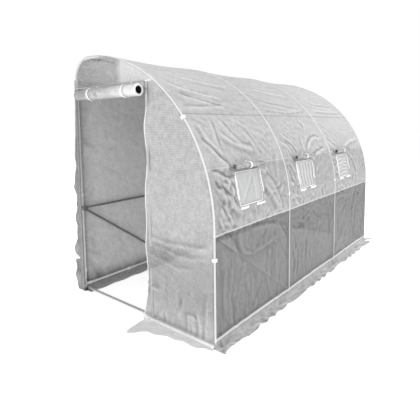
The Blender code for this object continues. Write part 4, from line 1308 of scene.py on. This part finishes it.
def hoop(index):
    y = Vector((0.0, HOOP_Y[index], 0.0))
    post_top = Vector((BACK_X, 0.0, TOP_Z - CORNER_R))
    up = Vector((0, 0, 1))
    corner = hoop_path()[:CORNER_STEPS]
    arch = [arch_point(ARCH_STEP_DEG * k) for k in range(round(90.0 / ARCH_STEP_DEG) + 1)]
    joint = JOINT_STEP
    onward = (arch[joint + 1] - arch[joint]).normalized()
    neck = TUBE_R - 0.0009
    foot = Vector((BACK_X, 0, 0.0022))
    post = [foot, foot + up * END_BEVEL, post_top - up * (SHOULDER + END_BEVEL), post_top - up * SHOULDER]
    roof = [post_top - up * SPIGOT_LENGTH, post_top - up * END_BEVEL] + corner + arch[: joint + 1]
    roof += [arch[joint] + onward * END_BEVEL, arch[joint] + onward * SPIGOT_LENGTH]
    side = [arch[joint] + onward * SHOULDER, arch[joint] + onward * (SHOULDER + END_BEVEL)]
    side += arch[joint + 1 :]
    side += [Vector((SIDE_X, 0, z)) for z in (0.6, 0.4, 0.2, 0.0024, 0.0012)]
    bm = bmesh.new()
    sweep(bm, [p + y for p in post], [neck, TUBE_R, TUBE_R, neck], 24)
    spigot = [SPIGOT_R, SPIGOT_R]
    sweep(bm, [p + y for p in roof], spigot + [TUBE_R] * (len(corner) + joint + 1) + spigot, 24)
    sweep(bm, [p + y for p in side], [neck] + [TUBE_R] * (len(side) - 2) + [neck], 24)
    name = f"hoop_{index + 1}"
    # the front hoop takes the steel with painted light, the others the darker copy with painted shade
    obj = mesh_object(name, bm, BRIGHT_STEEL if index == 0 else STEEL)
    tubes = [f"{name}_{part}" for part in ("back_post", "roof_tube", "side_tube")]
    place_in_frame(obj, "frame", "galvanised_tube", *tubes)
    bm = bmesh.new()
    for point, inward, tabs in bolt_places(index):
        bolt(bm, point + y, inward, tabs)
    place_in_frame(mesh_object(f"{name}_hardware", bm, ZINC), "frame", "galvanised_tube")
    bm = bmesh.new()
    for x in (BACK_X, SIDE_X):
        cap(bm, Vector((x, HOOP_Y[index], 0.0015)))
    place_in_frame(mesh_object(f"{name}_feet", bm, DARK_RUBBER), "frame", "galvanised_tube")


def bolt_places(index):
    at_end = index in (0, 3)
    braced = "mid_rail" if at_end else "base_rail"
    places = [(point, inward, (1 if at_end else 2) + (braced in name)) for name, point, inward in RAIL_LINES]
    if at_end:
        into_house = Vector((0, 1 if index == 0 else -1, 0))
        places += [(Vector((x, 0, CROSS_Z)), into_house, 1) for x in (BACK_X, SIDE_X)]
    return places


def lathe(bm, profile, matrix, sides):
    """Turns (radius, height) pairs round the matrix's Z axis."""
    rings = []
    for radius, height in profile:
        if radius == 0.0:
            rings.append([bm.verts.new(matrix @ Vector((0, 0, height)))])
            continue
        ring = []
        for k in range(sides):
            angle = 2.0 * math.pi * k / sides
            spot = Vector((radius * math.cos(angle), radius * math.sin(angle), height))
            ring.append(bm.verts.new(matrix @ spot))
        rings.append(ring)
    faces = []
    for lower, upper in zip(rings, rings[1:]):
        for k in range(sides):
            n = (k + 1) % sides
            corners = [
                lower[k % len(lower)], lower[n % len(lower)], upper[n % len(upper)], upper[k % len(upper)],
            ]
            faces.append(bm.faces.new(list(dict.fromkeys(corners))))
    bmesh.ops.recalc_face_normals(bm, faces=faces)


def bolt(bm, point, inward, tabs):
    """Domed head outside, a washer, a hexagon nut and two wings inside."""
    matrix = Matrix.Translation(point) @ inward.to_track_quat("Z", "Y").to_matrix().to_4x4()
    under, nut = -TUBE_R * 0.93, stacked(tabs) + TAB_T / 2.0 + 0.0002
    dome = [(0.0, -TUBE_R - 0.0017), (0.0028, -TUBE_R - 0.0015), (0.0052, -TUBE_R - 0.0007)]
    dome += [(0.0063, under - 0.0003), (0.0058, under), (0.003, under), (0.003, nut), (0.0, nut)]
    lathe(bm, dome, matrix, 20)
    turned = (
        (24, ((0.0, 0.0), (0.0078, 0.0), (0.0078, 0.0009), (0.0, 0.0009))),
        (6, ((0.0, 0.0009), (0.0060, 0.0009), (0.0050, 0.0058), (0.0032, 0.0064), (0.0, 0.0064))),
        (12, ((0.0, 0.0050), (0.0030, 0.0050), (0.0030, 0.0110), (0.0022, 0.0120), (0.0, 0.0120))),
    )
    for sides, profile in turned:
        lathe(bm, [(radius, nut + height) for radius, height in profile], matrix, sides)
    for side in (-1, 1):
        turn = matrix @ Matrix.Rotation(side * 0.35, 4, "Y")
        place = turn @ Vector((side * 0.0078, 0.0, nut + 0.0068))
        rounded_box(bm, place, (0.0095, 0.0022, 0.0070), turn.to_quaternion().to_matrix().to_4x4(), 0.0009)


def cap(bm, foot):
    profile = [(0.0, 0.0), (0.0138, 0.0), (0.0146, 0.0012), (0.0144, 0.026), (0.0137, 0.028), (0.0126, 0.028)]
    lathe(bm, profile, Matrix.Translation(foot), 24)


def rail(name, start, end, normal):
    """A tube hammered flat into a round-ended tab at each end."""
    axis = (end - start).normalized()
    across = axis.cross(normal).normalized()
    length = (end - start).length
    over = TAB_W / 2.0
    near = [-over + over * (1.0 - math.cos(math.radians(15.0 * k))) for k in range(7)]
    near += [0.010, 0.026, TAB_FLAT] + [TAB_FLAT + (TAB_LEN - TAB_FLAT) * k / 8.0 for k in range(1, 9)]
    stations = near + [length - a for a in reversed(near)]
    rings = []
    bm = bmesh.new()
    for at in stations:
        a = min(at, length - at)
        blend = float(smooth_step((a - TAB_FLAT) / (TAB_LEN - TAB_FLAT)))
        half = math.sqrt(max(over * over - min(a, 0.0) ** 2, 0.0)) if a < 0 else over
        half = max(half, 0.0012) * (1.0 - blend) + RAIL_R * blend
        thick = TAB_T / 2.0 * (1.0 - blend) + RAIL_R * blend
        square = 0.35 + 0.65 * blend
        ring = []
        for k in range(20):
            angle = 2.0 * math.pi * (k + 0.5) / 20
            c, d = math.cos(angle), math.sin(angle)
            u = math.copysign(abs(c) ** (0.4 + 0.6 * blend), c) * half
            v = math.copysign(abs(d) ** square, d) * thick
            ring.append(bm.verts.new(start + axis * at + across * u + normal * v))
        rings.append(ring)
    skin(bm, rings)
    bmesh.ops.recalc_face_normals(bm, faces=bm.faces)
    # painted light on the base rails, a lighter painted shade on the threshold, painted shade on the other
    # rails
    if "threshold" in name:
        mat = THRESHOLD_STEEL
    else:
        mat = BRIGHT_STEEL if "base_rail" in name else SHADED_STEEL
    place_in_frame(mesh_object(f"{name}_steel", bm, mat), "frame", "galvanised_tube", name)


def rails():
    for name, point, inward in RAIL_LINES:
        for bay in range(3):
            place = point + inward * stacked(2 if bay == 1 else 1)
            start, end = (place + Vector((0, HOOP_Y[bay + k], 0)) for k in (0, 1))
            rail(f"{name}_{bay + 1}", start, end, inward)
    for side, x in (("back", BACK_X), ("side", SIDE_X)):
        for bay, high, low in (("front", 0, 1), ("rear", 3, 2)):
            start = Vector((x, HOOP_Y[high], MID_RAIL_Z)) + INWARD[side] * stacked(2)
            end = Vector((x, HOOP_Y[low], BASE_Z)) + INWARD[side] * stacked(3)
            rail(f"{side}_brace_{bay}_bay", start, end, INWARD[side])
    for name, index, inward in (("front_threshold_rail", 0, 1), ("rear_base_rail", 3, -1)):
        inward = Vector((0, inward, 0))
        ends = [Vector((x, HOOP_Y[index], CROSS_Z)) + inward * stacked(1) for x in (BACK_X, SIDE_X)]
        rail(name, *ends, inward)


def clip(bm, middle, axis, outward, radius, length=0.024):
    """A C-shaped snap clip pushed over a tube from outside."""
    axis, outward = Vector(axis).normalized(), Vector(outward).normalized()
    across = axis.cross(outward)
    wall, half = 0.0022, math.radians(118.0)
    sections = []
    for along, extra in ((-0.5, -0.0006), (-0.47, 0.0), (0.47, 0.0), (0.5, -0.0006)):
        ring = []
        inner = []
        for j in range(17):
            angle = -half + 2.0 * half * j / 16.0
            direction = outward * math.cos(angle) + across * math.sin(angle)
            lip = 0.0016 if j in (0, 16) else 0.0
            spot = middle + axis * (along * length) + direction * (radius + wall + extra + lip)
            ring.append(bm.verts.new(spot))
            inner.append(bm.verts.new(middle + axis * (along * length) + direction * (radius + lip)))
        sections.append(ring + inner[::-1])
    count = len(sections[0])
    faces = []
    for lower, upper in zip(sections, sections[1:]):
        for k in range(count):
            faces.append(bm.faces.new((lower[k], lower[(k + 1) % count], upper[(k + 1) % count], upper[k])))
    for ring, order in ((sections[0], -1), (sections[-1], 1)):
        for j in range(16):
            quad = (ring[j], ring[j + 1], ring[count - 2 - j], ring[count - 1 - j])
            faces.append(bm.faces.new(quad[::order]))
    bmesh.ops.recalc_face_normals(bm, faces=faces)


def clips():
    bm = bmesh.new()
    over_film, bare = LIFT + 0.0006, TUBE_R + 0.0003
    side = Vector((1, 0, 0))
    for y in HOOP_Y[1:3]:
        clip(bm, Vector((SIDE_X, y, 0.895)) - side * 0.0035, (0.02, 0, 1), side, over_film)
    clip(bm, Vector((SIDE_X, FRONT_Y, 0.605)), (0, 0, 1), (1, -1, 0), over_film + 0.001)
    tangent = arch_point(55) - arch_point(53)
    outward = arch_normal(PURLIN_DEG) + Vector((0, -1, 0))
    clip(bm, arch_point(PURLIN_DEG) + Vector((0, FRONT_Y, 0)), tangent, outward, over_film + 0.001)
    for z in (0.874, 0.19):
        clip(bm, Vector((BACK_X, FRONT_Y, z)), (0, 0, 1), (1, -0.6, 0), bare, 0.034)
    place = RAIL_LINES[0][1] + INWARD["back"] * stacked(1)
    clip(bm, place + Vector((0, FRONT_Y + 0.48, 0)), (0, 1, 0), (0.6, 0, 1), RAIL_R + 0.0003, 0.030)
    place_in_frame(mesh_object("snap_clips", bm, WHITE_PLASTIC), "frame", "white_webbing")


# Rolls, ties and zips


def spiral_roll(name, centre, axis, half_length, bore, radius, flat_length, wobble, mat, seed, start=0.0):
    """Film wound at its real length, with the same dents through all its turns."""
    axis = Vector(axis).normalized()
    u = Vector((0, 0, 1)) if abs(axis.z) < 0.5 else Vector((1, 0, 0))
    u = (u - axis * u.dot(axis)).normalized()
    v = axis.cross(u)
    turns = flat_length / (math.pi * (bore + radius))
    per_turn = 30
    count = round(turns * per_turn)
    stations = max(12, round(2.0 * half_length / 0.014))
    points = np.zeros((stations + 1, count + 1, 3))
    cloth = np.zeros((stations + 1, count + 1, 2))
    for i in range(stations + 1):
        x = -half_length + 2.0 * half_length * i / stations
        for j in range(count + 1):
            angle = 2.0 * math.pi * turns * j / count
            r = bore + (radius - bore) * j / count
            q = Vector((math.cos(angle) * 1.3, math.sin(angle) * 1.3, x / 0.05 + seed))
            dent = 1.0 - wobble * (0.6 + 0.9 * noise.noise(q) + 0.5 * noise.noise(q * 2.7))
            loose = 1.0 if abs(x) > half_length * 0.98 else 0.3
            end_shift = 0.0028 * noise.noise(Vector((angle * 0.35, seed, 3.0))) * loose
            turned = start + angle
            spoke = u * math.cos(turned) + v * math.sin(turned)
            points[i, j] = centre + axis * (x + end_shift) + spoke * (r * min(dent, 1.0))
            cloth[i, j] = (x, flat_length * j / count)
    obj = grid_mesh(name, points, cloth, mat)
    set_light(obj, np.zeros(len(obj.data.vertices)))
    return applied(thicken(obj, 0.0009, 0.0))


def strip_sheet(name, corners, columns, rows, mat):
    """A short flat sheet between two edges; corners are top-left, top-right, low-left, low-right."""
    tl, tr, ll, lr = (Vector(c) for c in corners)
    points = np.zeros((rows + 1, columns + 1, 3))
    cloth = np.zeros((rows + 1, columns + 1, 2))
    for i in range(rows + 1):
        for j in range(columns + 1):
            a, b = j / columns, i / rows
            points[i, j] = tl.lerp(tr, a).lerp(ll.lerp(lr, a), b)
            cloth[i, j] = ((tr - tl).length * a, (ll - tl).length * b)
    obj = grid_mesh(name, points, cloth, mat)
    set_light(obj, np.zeros(len(obj.data.vertices)))
    return applied(thicken(obj, 0.0008, 0.0))


TIE_SECTION = (
    (-1, -0.5), (-0.93, -0.5), (0.93, -0.5), (1, -0.5),
    (1, 0.5), (0.93, 0.62), (-0.93, 0.62), (-1, 0.5),
)


def tie(name, centre, outward, down, roll_r, rise, half=0.011):
    """A webbing loop from the seam, round in front of a roll and back, with a stitched lap."""
    across = outward.cross(down).normalized()
    thick, radius = 0.0014, roll_r + 0.0036
    path = [(-radius - 0.0005, rise + 0.006), (-radius, rise * 0.5)]
    path += [(radius * math.cos(a), radius * math.sin(a)) for a in np.radians(np.linspace(-180.0, 96.0, 47))]
    bm = bmesh.new()
    rings = []
    for k, (a, b) in enumerate(path):
        a0, b0 = path[max(k - 1, 0)]
        a1, b1 = path[min(k + 1, len(path) - 1)]
        tangent = Vector((a1 - a0, b1 - b0)).normalized()
        side = Vector((tangent.y, -tangent.x))
        pinch = 1.0 - 0.12 * math.sin(k * 1.3) ** 2
        ring = []
        for across_at, out_at in TIE_SECTION:
            flat = outward * (a + side.x * out_at * thick) - down * (b + side.y * out_at * thick)
            ring.append(bm.verts.new(centre + flat + across * (across_at * half * pinch)))
        rings.append(ring)
    skin(bm, rings)
    bmesh.ops.recalc_face_normals(bm, faces=bm.faces)
    return mesh_object(name, bm, WEBBING)


# Windows

FLAP_DOWN = Vector((0.25297, 0.0, -0.967474))
FLAP_OUT = Vector((-FLAP_DOWN.z, 0.0, FLAP_DOWN.x))
FLAP_ROLL_R, FLAP_LENGTH, FLAP_RISE = 0.020, 0.30, 0.030


def windows(cover):
    screen = screen_material("insect_screen")
    # the wound film is darker: partly its many layers, partly painted shade
    rolled = film_material("film_flap_roll", (0.34, 0.34, 0.345), 0.85, thread=0.25)
    hanging = film_material("film_flap", (0.52, 0.52, 0.525), 0.70, thread=0.3)
    for number, y in enumerate(WINDOW_Y, 1):
        window_screen(cover, number, y, screen)
        window_trim(cover, number, y)
        window_flap(number, y, rolled, hanging)


def screen_pleats(number, y, yy, ss, u, v, high, low):
    """Each screen sags in its own way: one slack diagonal, upright pleats, or level ones."""
    middle = (high + low) / 2.0
    if number == 1:
        slack = creases(yy, ss, [(y - 0.02, middle)], [-0.86], [0.19], [0.010], [0.006])
        places = [(y + 0.075, middle), (y - 0.1, high + 0.1)]
        return slack + creases(yy, ss, places, [1.57, 1.4], [0.14, 0.08], [0.008, 0.01], [0.006, 0.004])
    if number == 2:
        return 0.0045 * np.sin(u * 30.0 + 1.6 * np.sin(v * 3.0) + 4.0 * u * v)
    return 0.0050 * np.sin(v * 38.0 + 0.9 * np.sin(u * 7.0 + 1.0)) * (0.6 + 0.4 * np.sin(u * 9.0 + v * 11.0))


def window_screen(cover, number, y, mat):
    high, low = cover.s_at(WINDOW_HIGH), cover.s_at(WINDOW_LOW)
    reach = WINDOW_W / 2 + SCREEN_LAP
    rows = np.linspace(high - SCREEN_LAP, low + SCREEN_LAP, 34)
    yy, ss = np.meshgrid(np.linspace(y - reach, y + reach, 46), rows)
    u, v = (yy - y) / WINDOW_W, (ss - high) / (low - high)
    inside = smooth_step((0.5 - np.abs(u)) / 0.08) * smooth_step(v / 0.08) * smooth_step((1 - v) / 0.08)
    pleat = screen_pleats(number, y, yy, ss, u, v, high, low)
    _, _, nx, nz = cover.section(ss)
    depth = (np.minimum(pleat, 0.001) - 0.001) * inside
    points = cover.at(ss, yy, -0.0032) + np.stack([nx, 0 * nx, nz], -1) * depth[..., None]
    obj = grid_mesh(f"window_{number}_screen", points, np.stack([yy, ss], -1), mat)
    # painted light and shade along the pleats, and a little painted shade overall
    set_light(obj, (np.clip((pleat - blurred(pleat, 12)) * 90.0, -0.45, 0.30) * inside - 0.06).ravel())
    flip(obj)
    applied(thicken(obj, 0.0004, 0.0))
    place_in_frame(obj, "frame", "insect_mesh", f"window_screen_{number}")


def window_flap(number, y, rolled, hanging):
    """The rolled flap, the short sheet it hangs from and the tie round it."""
    low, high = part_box(f"window_flap_roll_{number}")
    middle, half = (low + high) / 2.0, (high.y - low.y) / 2.0
    name, radius = f"window_{number}", FLAP_ROLL_R - 0.0006
    seed = 3.0 * number
    obj = spiral_roll(f"{name}_roll", middle, (0, 1, 0), half, 0.008, radius, FLAP_LENGTH, 0.13, rolled, seed)
    at = coords(obj)
    # painted light and shade on the roll: crumpled, lighter at the middle and darker towards the ends
    light = crumple(at, 0.035, 0.5, 2.0 * number) + 0.15 - 0.25 * np.abs(at[:, 1] - y) / half
    set_light(obj, np.clip(light, -0.6, 0.8))
    place_in_frame(obj, f"window_flap_roll_{number}", "mesh_film", f"window_flap_roll_{number}")
    back = middle - FLAP_OUT * (FLAP_ROLL_R + 0.0009)
    top, side = back - FLAP_DOWN * FLAP_RISE, Vector((0, half, 0))
    obj = strip_sheet(f"{name}_flap", (top - side, top + side, back - side, back + side), 40, 6, hanging)
    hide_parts(f"window_flap_sheet_{number}")
    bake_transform(obj)
    obj = tie(f"{name}_tie", middle, FLAP_OUT, FLAP_DOWN, FLAP_ROLL_R, FLAP_RISE)
    place_in_frame(obj, "frame", "white_webbing", f"window_tie_{number}")
    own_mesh(obj)


RIBBON_SECTION = ((-1, -0.5), (1, -0.5), (1, 0.3), (0.9, 0.5), (-0.9, 0.5), (-1, 0.3))


def ribbon(cover, name, line, half, thick=0.0012, lift=0.0012):
    """A strip sewn to the film along a line of (s, y)."""
    line = np.array(line)
    points = cover.at(line[:, 0], line[:, 1], lift)
    _, _, nx, nz = cover.section(line[:, 0])
    bm = bmesh.new()
    rings = []
    for k in range(len(points)):
        tangent = Vector(points[min(k + 1, len(points) - 1)] - points[max(k - 1, 0)]).normalized()
        normal = Vector((nx[k], 0, nz[k]))
        across = tangent.cross(normal).normalized()
        ring = []
        for a, b in RIBBON_SECTION:
            ring.append(bm.verts.new(Vector(points[k]) + across * (a * half) + normal * (b * thick)))
        rings.append(ring)
    skin(bm, rings)
    bmesh.ops.recalc_face_normals(bm, faces=bm.faces)
    place_in_frame(mesh_object(name, bm, WEBBING), "frame", "white_webbing")


def window_trim(cover, number, y):
    """Hook strips down both sides of the opening, two below it and a hem round it."""
    high, low = cover.s_at(WINDOW_HIGH), cover.s_at(WINDOW_LOW)
    t = np.linspace(0, 1, 24)
    for part, side, shift, start in (("left", -1, 0.004, 0.018), ("right", 1, 0.030, 0.004)):
        s = high + start + (low - high - 0.06) * t
        across = WINDOW_W / 2 + shift - side * 0.010 * np.sin(math.pi * t)
        ribbon(cover, f"window_{number}_hook_{part}", np.column_stack([s, y + side * across]), 0.0065)
    t = np.linspace(0, 1, 10)
    for part, a, b in (("near", -0.148, -0.045), ("far", 0.062, 0.180)):
        line = np.column_stack([low + 0.024 + 0.002 * np.sin(3 * t), y + a + (b - a) * t])
        ribbon(cover, f"window_{number}_patch_{part}", line, 0.0085)
    half = WINDOW_W / 2
    top, foot = high - 0.006, low + 0.006
    corners = [(top, y - half), (top, y + half), (foot, y + half), (foot, y - half)]
    hem = []
    for (s0, y0), (s1, y1) in zip(corners, corners[1:] + corners[:1]):
        hem += [(s0 + (s1 - s0) * k / 20, y0 + (y1 - y0) * k / 20) for k in range(20)]
    ribbon(cover, f"window_{number}_hem", hem + corners[:1], 0.0030, 0.0010, 0.0009)


# Door


def door():
    low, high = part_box("door_roll")
    centre, half = (low + high) / 2.0, (high.x - low.x) / 2.0
    roll_r = (high.z - low.z) / 2.0
    mat = film_material("film_door_roll", FILM_GREY, 0.9, thread=0.3)
    cut = DOOR_TOP - 0.06
    radius = roll_r - 0.0012
    obj = spiral_roll("door_rolled", centre, (1, 0, 0), half, 0.030, radius, cut, 0.055, mat, 11.0, 2.2)
    at = coords(obj)
    along = (at[:, 0] - low.x) / (high.x - low.x)
    # painted light along the roll, lighter to the right and shaded to the left, crumpled light and shade, and
    # painted shade in the bore
    light = 0.56 * smooth_step((along - 0.50) / 0.4) - 0.34 * smooth_step((0.25 - along) / 0.1) - 0.02
    light += crumple(at, 0.05, 0.30, 1.0)
    in_bore = np.hypot(at[:, 1] - centre.y, at[:, 2] - centre.z) < 0.0335
    set_light(obj, np.where(in_bore, -0.97, np.clip(light, -0.4, 0.9)))
    place_in_frame(obj, "door_roll", "mesh_film", "door_roll")
    bm = bmesh.new()
    sweep_ring(bm, centre + Vector((half - 0.0005, 0, 0)), roll_r - 0.0095, 0.0085, 0.0035)
    place_in_frame(mesh_object("door_roll_hem", bm, BRIGHT_FILM), "door_roll", "mesh_film")
    sheet_low, sheet_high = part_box("door_sheet")
    y = (sheet_low.y + sheet_high.y) / 2.0
    top, seam = centre.z, DOOR_TOP
    hanging = film_material("film_door", (0.56, 0.56, 0.565), 0.7, thread=0.5)
    corners = ((low.x, y, seam), (high.x, y, seam), (low.x, y, top), (high.x, y, top))
    obj = strip_sheet("door_hanging", corners, 70, 8, hanging)
    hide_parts("door_sheet")
    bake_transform(obj)
    for side in ("left", "right"):
        a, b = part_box(f"door_tie_{side}")
        place = Vector(((a.x + b.x) / 2, centre.y, centre.z))
        out, down = Vector((0, -1, 0)), Vector((0, 0, -1))
        obj = tie(f"door_tie_{side}_web", place, out, down, roll_r, seam - top, 0.0105)
        place_in_frame(obj, "frame", "white_webbing", f"door_tie_{side}")
        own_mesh(obj)
        zip_side(side)


def sweep_ring(bm, centre, radius, half_wide, half_thick):
    """A soft ring in the YZ plane: the roll's hemmed end."""
    rings = []
    for k in range(48):
        angle = 2 * math.pi * k / 48
        out = Vector((0, math.cos(angle), math.sin(angle)))
        wide = half_wide * (1 + 0.12 * noise.noise(out * 2.0))
        ring = []
        for angle in np.radians(np.arange(0, 360, 36)):
            spoke = out * (radius + wide * math.cos(angle)) + Vector((half_thick * math.sin(angle), 0, 0))
            ring.append(bm.verts.new(centre + spoke))
        rings.append(ring)
    skin(bm, rings, closed=True)
    bmesh.ops.recalc_face_normals(bm, faces=bm.faces)


def zip_side(side):
    low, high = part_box(f"door_zip_tape_{side}")
    x, y = (low.x + high.x) / 2.0, low.y
    bm = bmesh.new()
    heights = np.linspace(low.z, high.z, 120)
    line = [(x + 0.0006 * math.sin(z * 23.0), y + 0.0004, z) for z in heights]
    sweep_flat(bm, line, (0, -1, 0), (high.x - low.x) / 2.0, 0.0007, 12)
    # the left tape is painted dark grey, as shade beside the front post
    tape = SHADED_TAPE if side == "left" else TAPE
    obj = mesh_object(f"zip_tape_{side}", bm, tape)
    place_in_frame(obj, "frame", "white_webbing", f"door_zip_tape_{side}")
    bm = bmesh.new()
    count, margin = 350, 0.01
    for k in range(count):
        z = low.z + margin + (high.z - low.z - 2.0 * margin) * k / (count - 1)
        shift = 0.0011 if k % 2 else -0.0011
        rounded_box(bm, Vector((x + shift, y - 0.0004, z)), (0.0046, 0.0016, 0.0026), None, 0.0004)
    place_in_frame(mesh_object(f"zip_teeth_{side}", bm, GREY_PLASTIC), "frame", "zinc_slider")
    back, top = (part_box(f"door_zip_slider_{side}")[1][axis] for axis in (1, 2))
    bm = bmesh.new()
    rounded_box(bm, Vector((x, back - 0.0030, top - 0.009)), (0.0105, 0.0052, 0.017), None, 0.0016)
    rounded_box(bm, Vector((x, back - 0.0060, top - 0.008)), (0.0040, 0.0024, 0.010), None, 0.0010)
    rounded_box(bm, Vector((x, back - 0.0071, top - 0.028)), (0.0070, 0.0014, 0.028), None, 0.0006)
    obj = mesh_object(f"zip_slider_{side}_metal", bm, ZINC)
    place_in_frame(obj, f"zip_slider_{side}", "zinc_slider", f"door_zip_slider_{side}")


def base_band():
    """Film bunched over the base rail under the front panel, thickest at the doorway."""
    mat = film_material("film_bunched", (0.90, 0.90, 0.90), 0.97, thread=0.3)
    bm = bmesh.new()
    layer = bm.loops.layers.uv.new("cloth")
    rings = []
    sides, knot_x, knot_r = 18, 0.082, 0.0110
    for x in np.linspace(0.048, SIDE_X + 0.006, 130):
        bunch = math.exp(-(((x - knot_x) / 0.034) ** 2))
        clear = float(smooth_step((x - 0.122) / 0.03))
        centre = Vector((x, FRONT_Y - 0.010 - (LIFT + 0.002) * clear, 0.026))
        rough = 0.22 + 0.25 * bunch
        ring = []
        for k in range(sides):
            angle = 2 * math.pi * k / sides
            q = Vector((x / 0.03, math.cos(angle) * 1.4, math.sin(angle) * 1.4))
            r = (0.0115 + knot_r * bunch) * (1 + rough * noise.noise(q) + 0.8 * rough * noise.noise(q * 2.3))
            ring.append(bm.verts.new(centre + Vector((0, math.cos(angle) * r * 0.75, math.sin(angle) * r))))
        rings.append(ring)
    skin(bm, rings)
    bmesh.ops.recalc_face_normals(bm, faces=bm.faces)
    for face in bm.faces:
        for loop in face.loops:
            loop[layer].uv = (loop.vert.co.x, loop.vert.co.z + loop.vert.co.y)
    obj = mesh_object("front_base_bunch", bm, mat)
    # painted light on the bunched film, brightest at the knot
    set_light(obj, 0.5 + 0.5 * np.exp(-(((coords(obj)[:, 0] - knot_x) / 0.06) ** 2)))
    place_in_frame(obj, "frame", "mesh_film")


make_camera()
studio()
cover = Cover()
roof_film(cover)
back_wall_film()
front_film()
rear_film()
base_band()
for number in range(4):
    hoop(number)
rails()
clips()
windows(cover)
door()
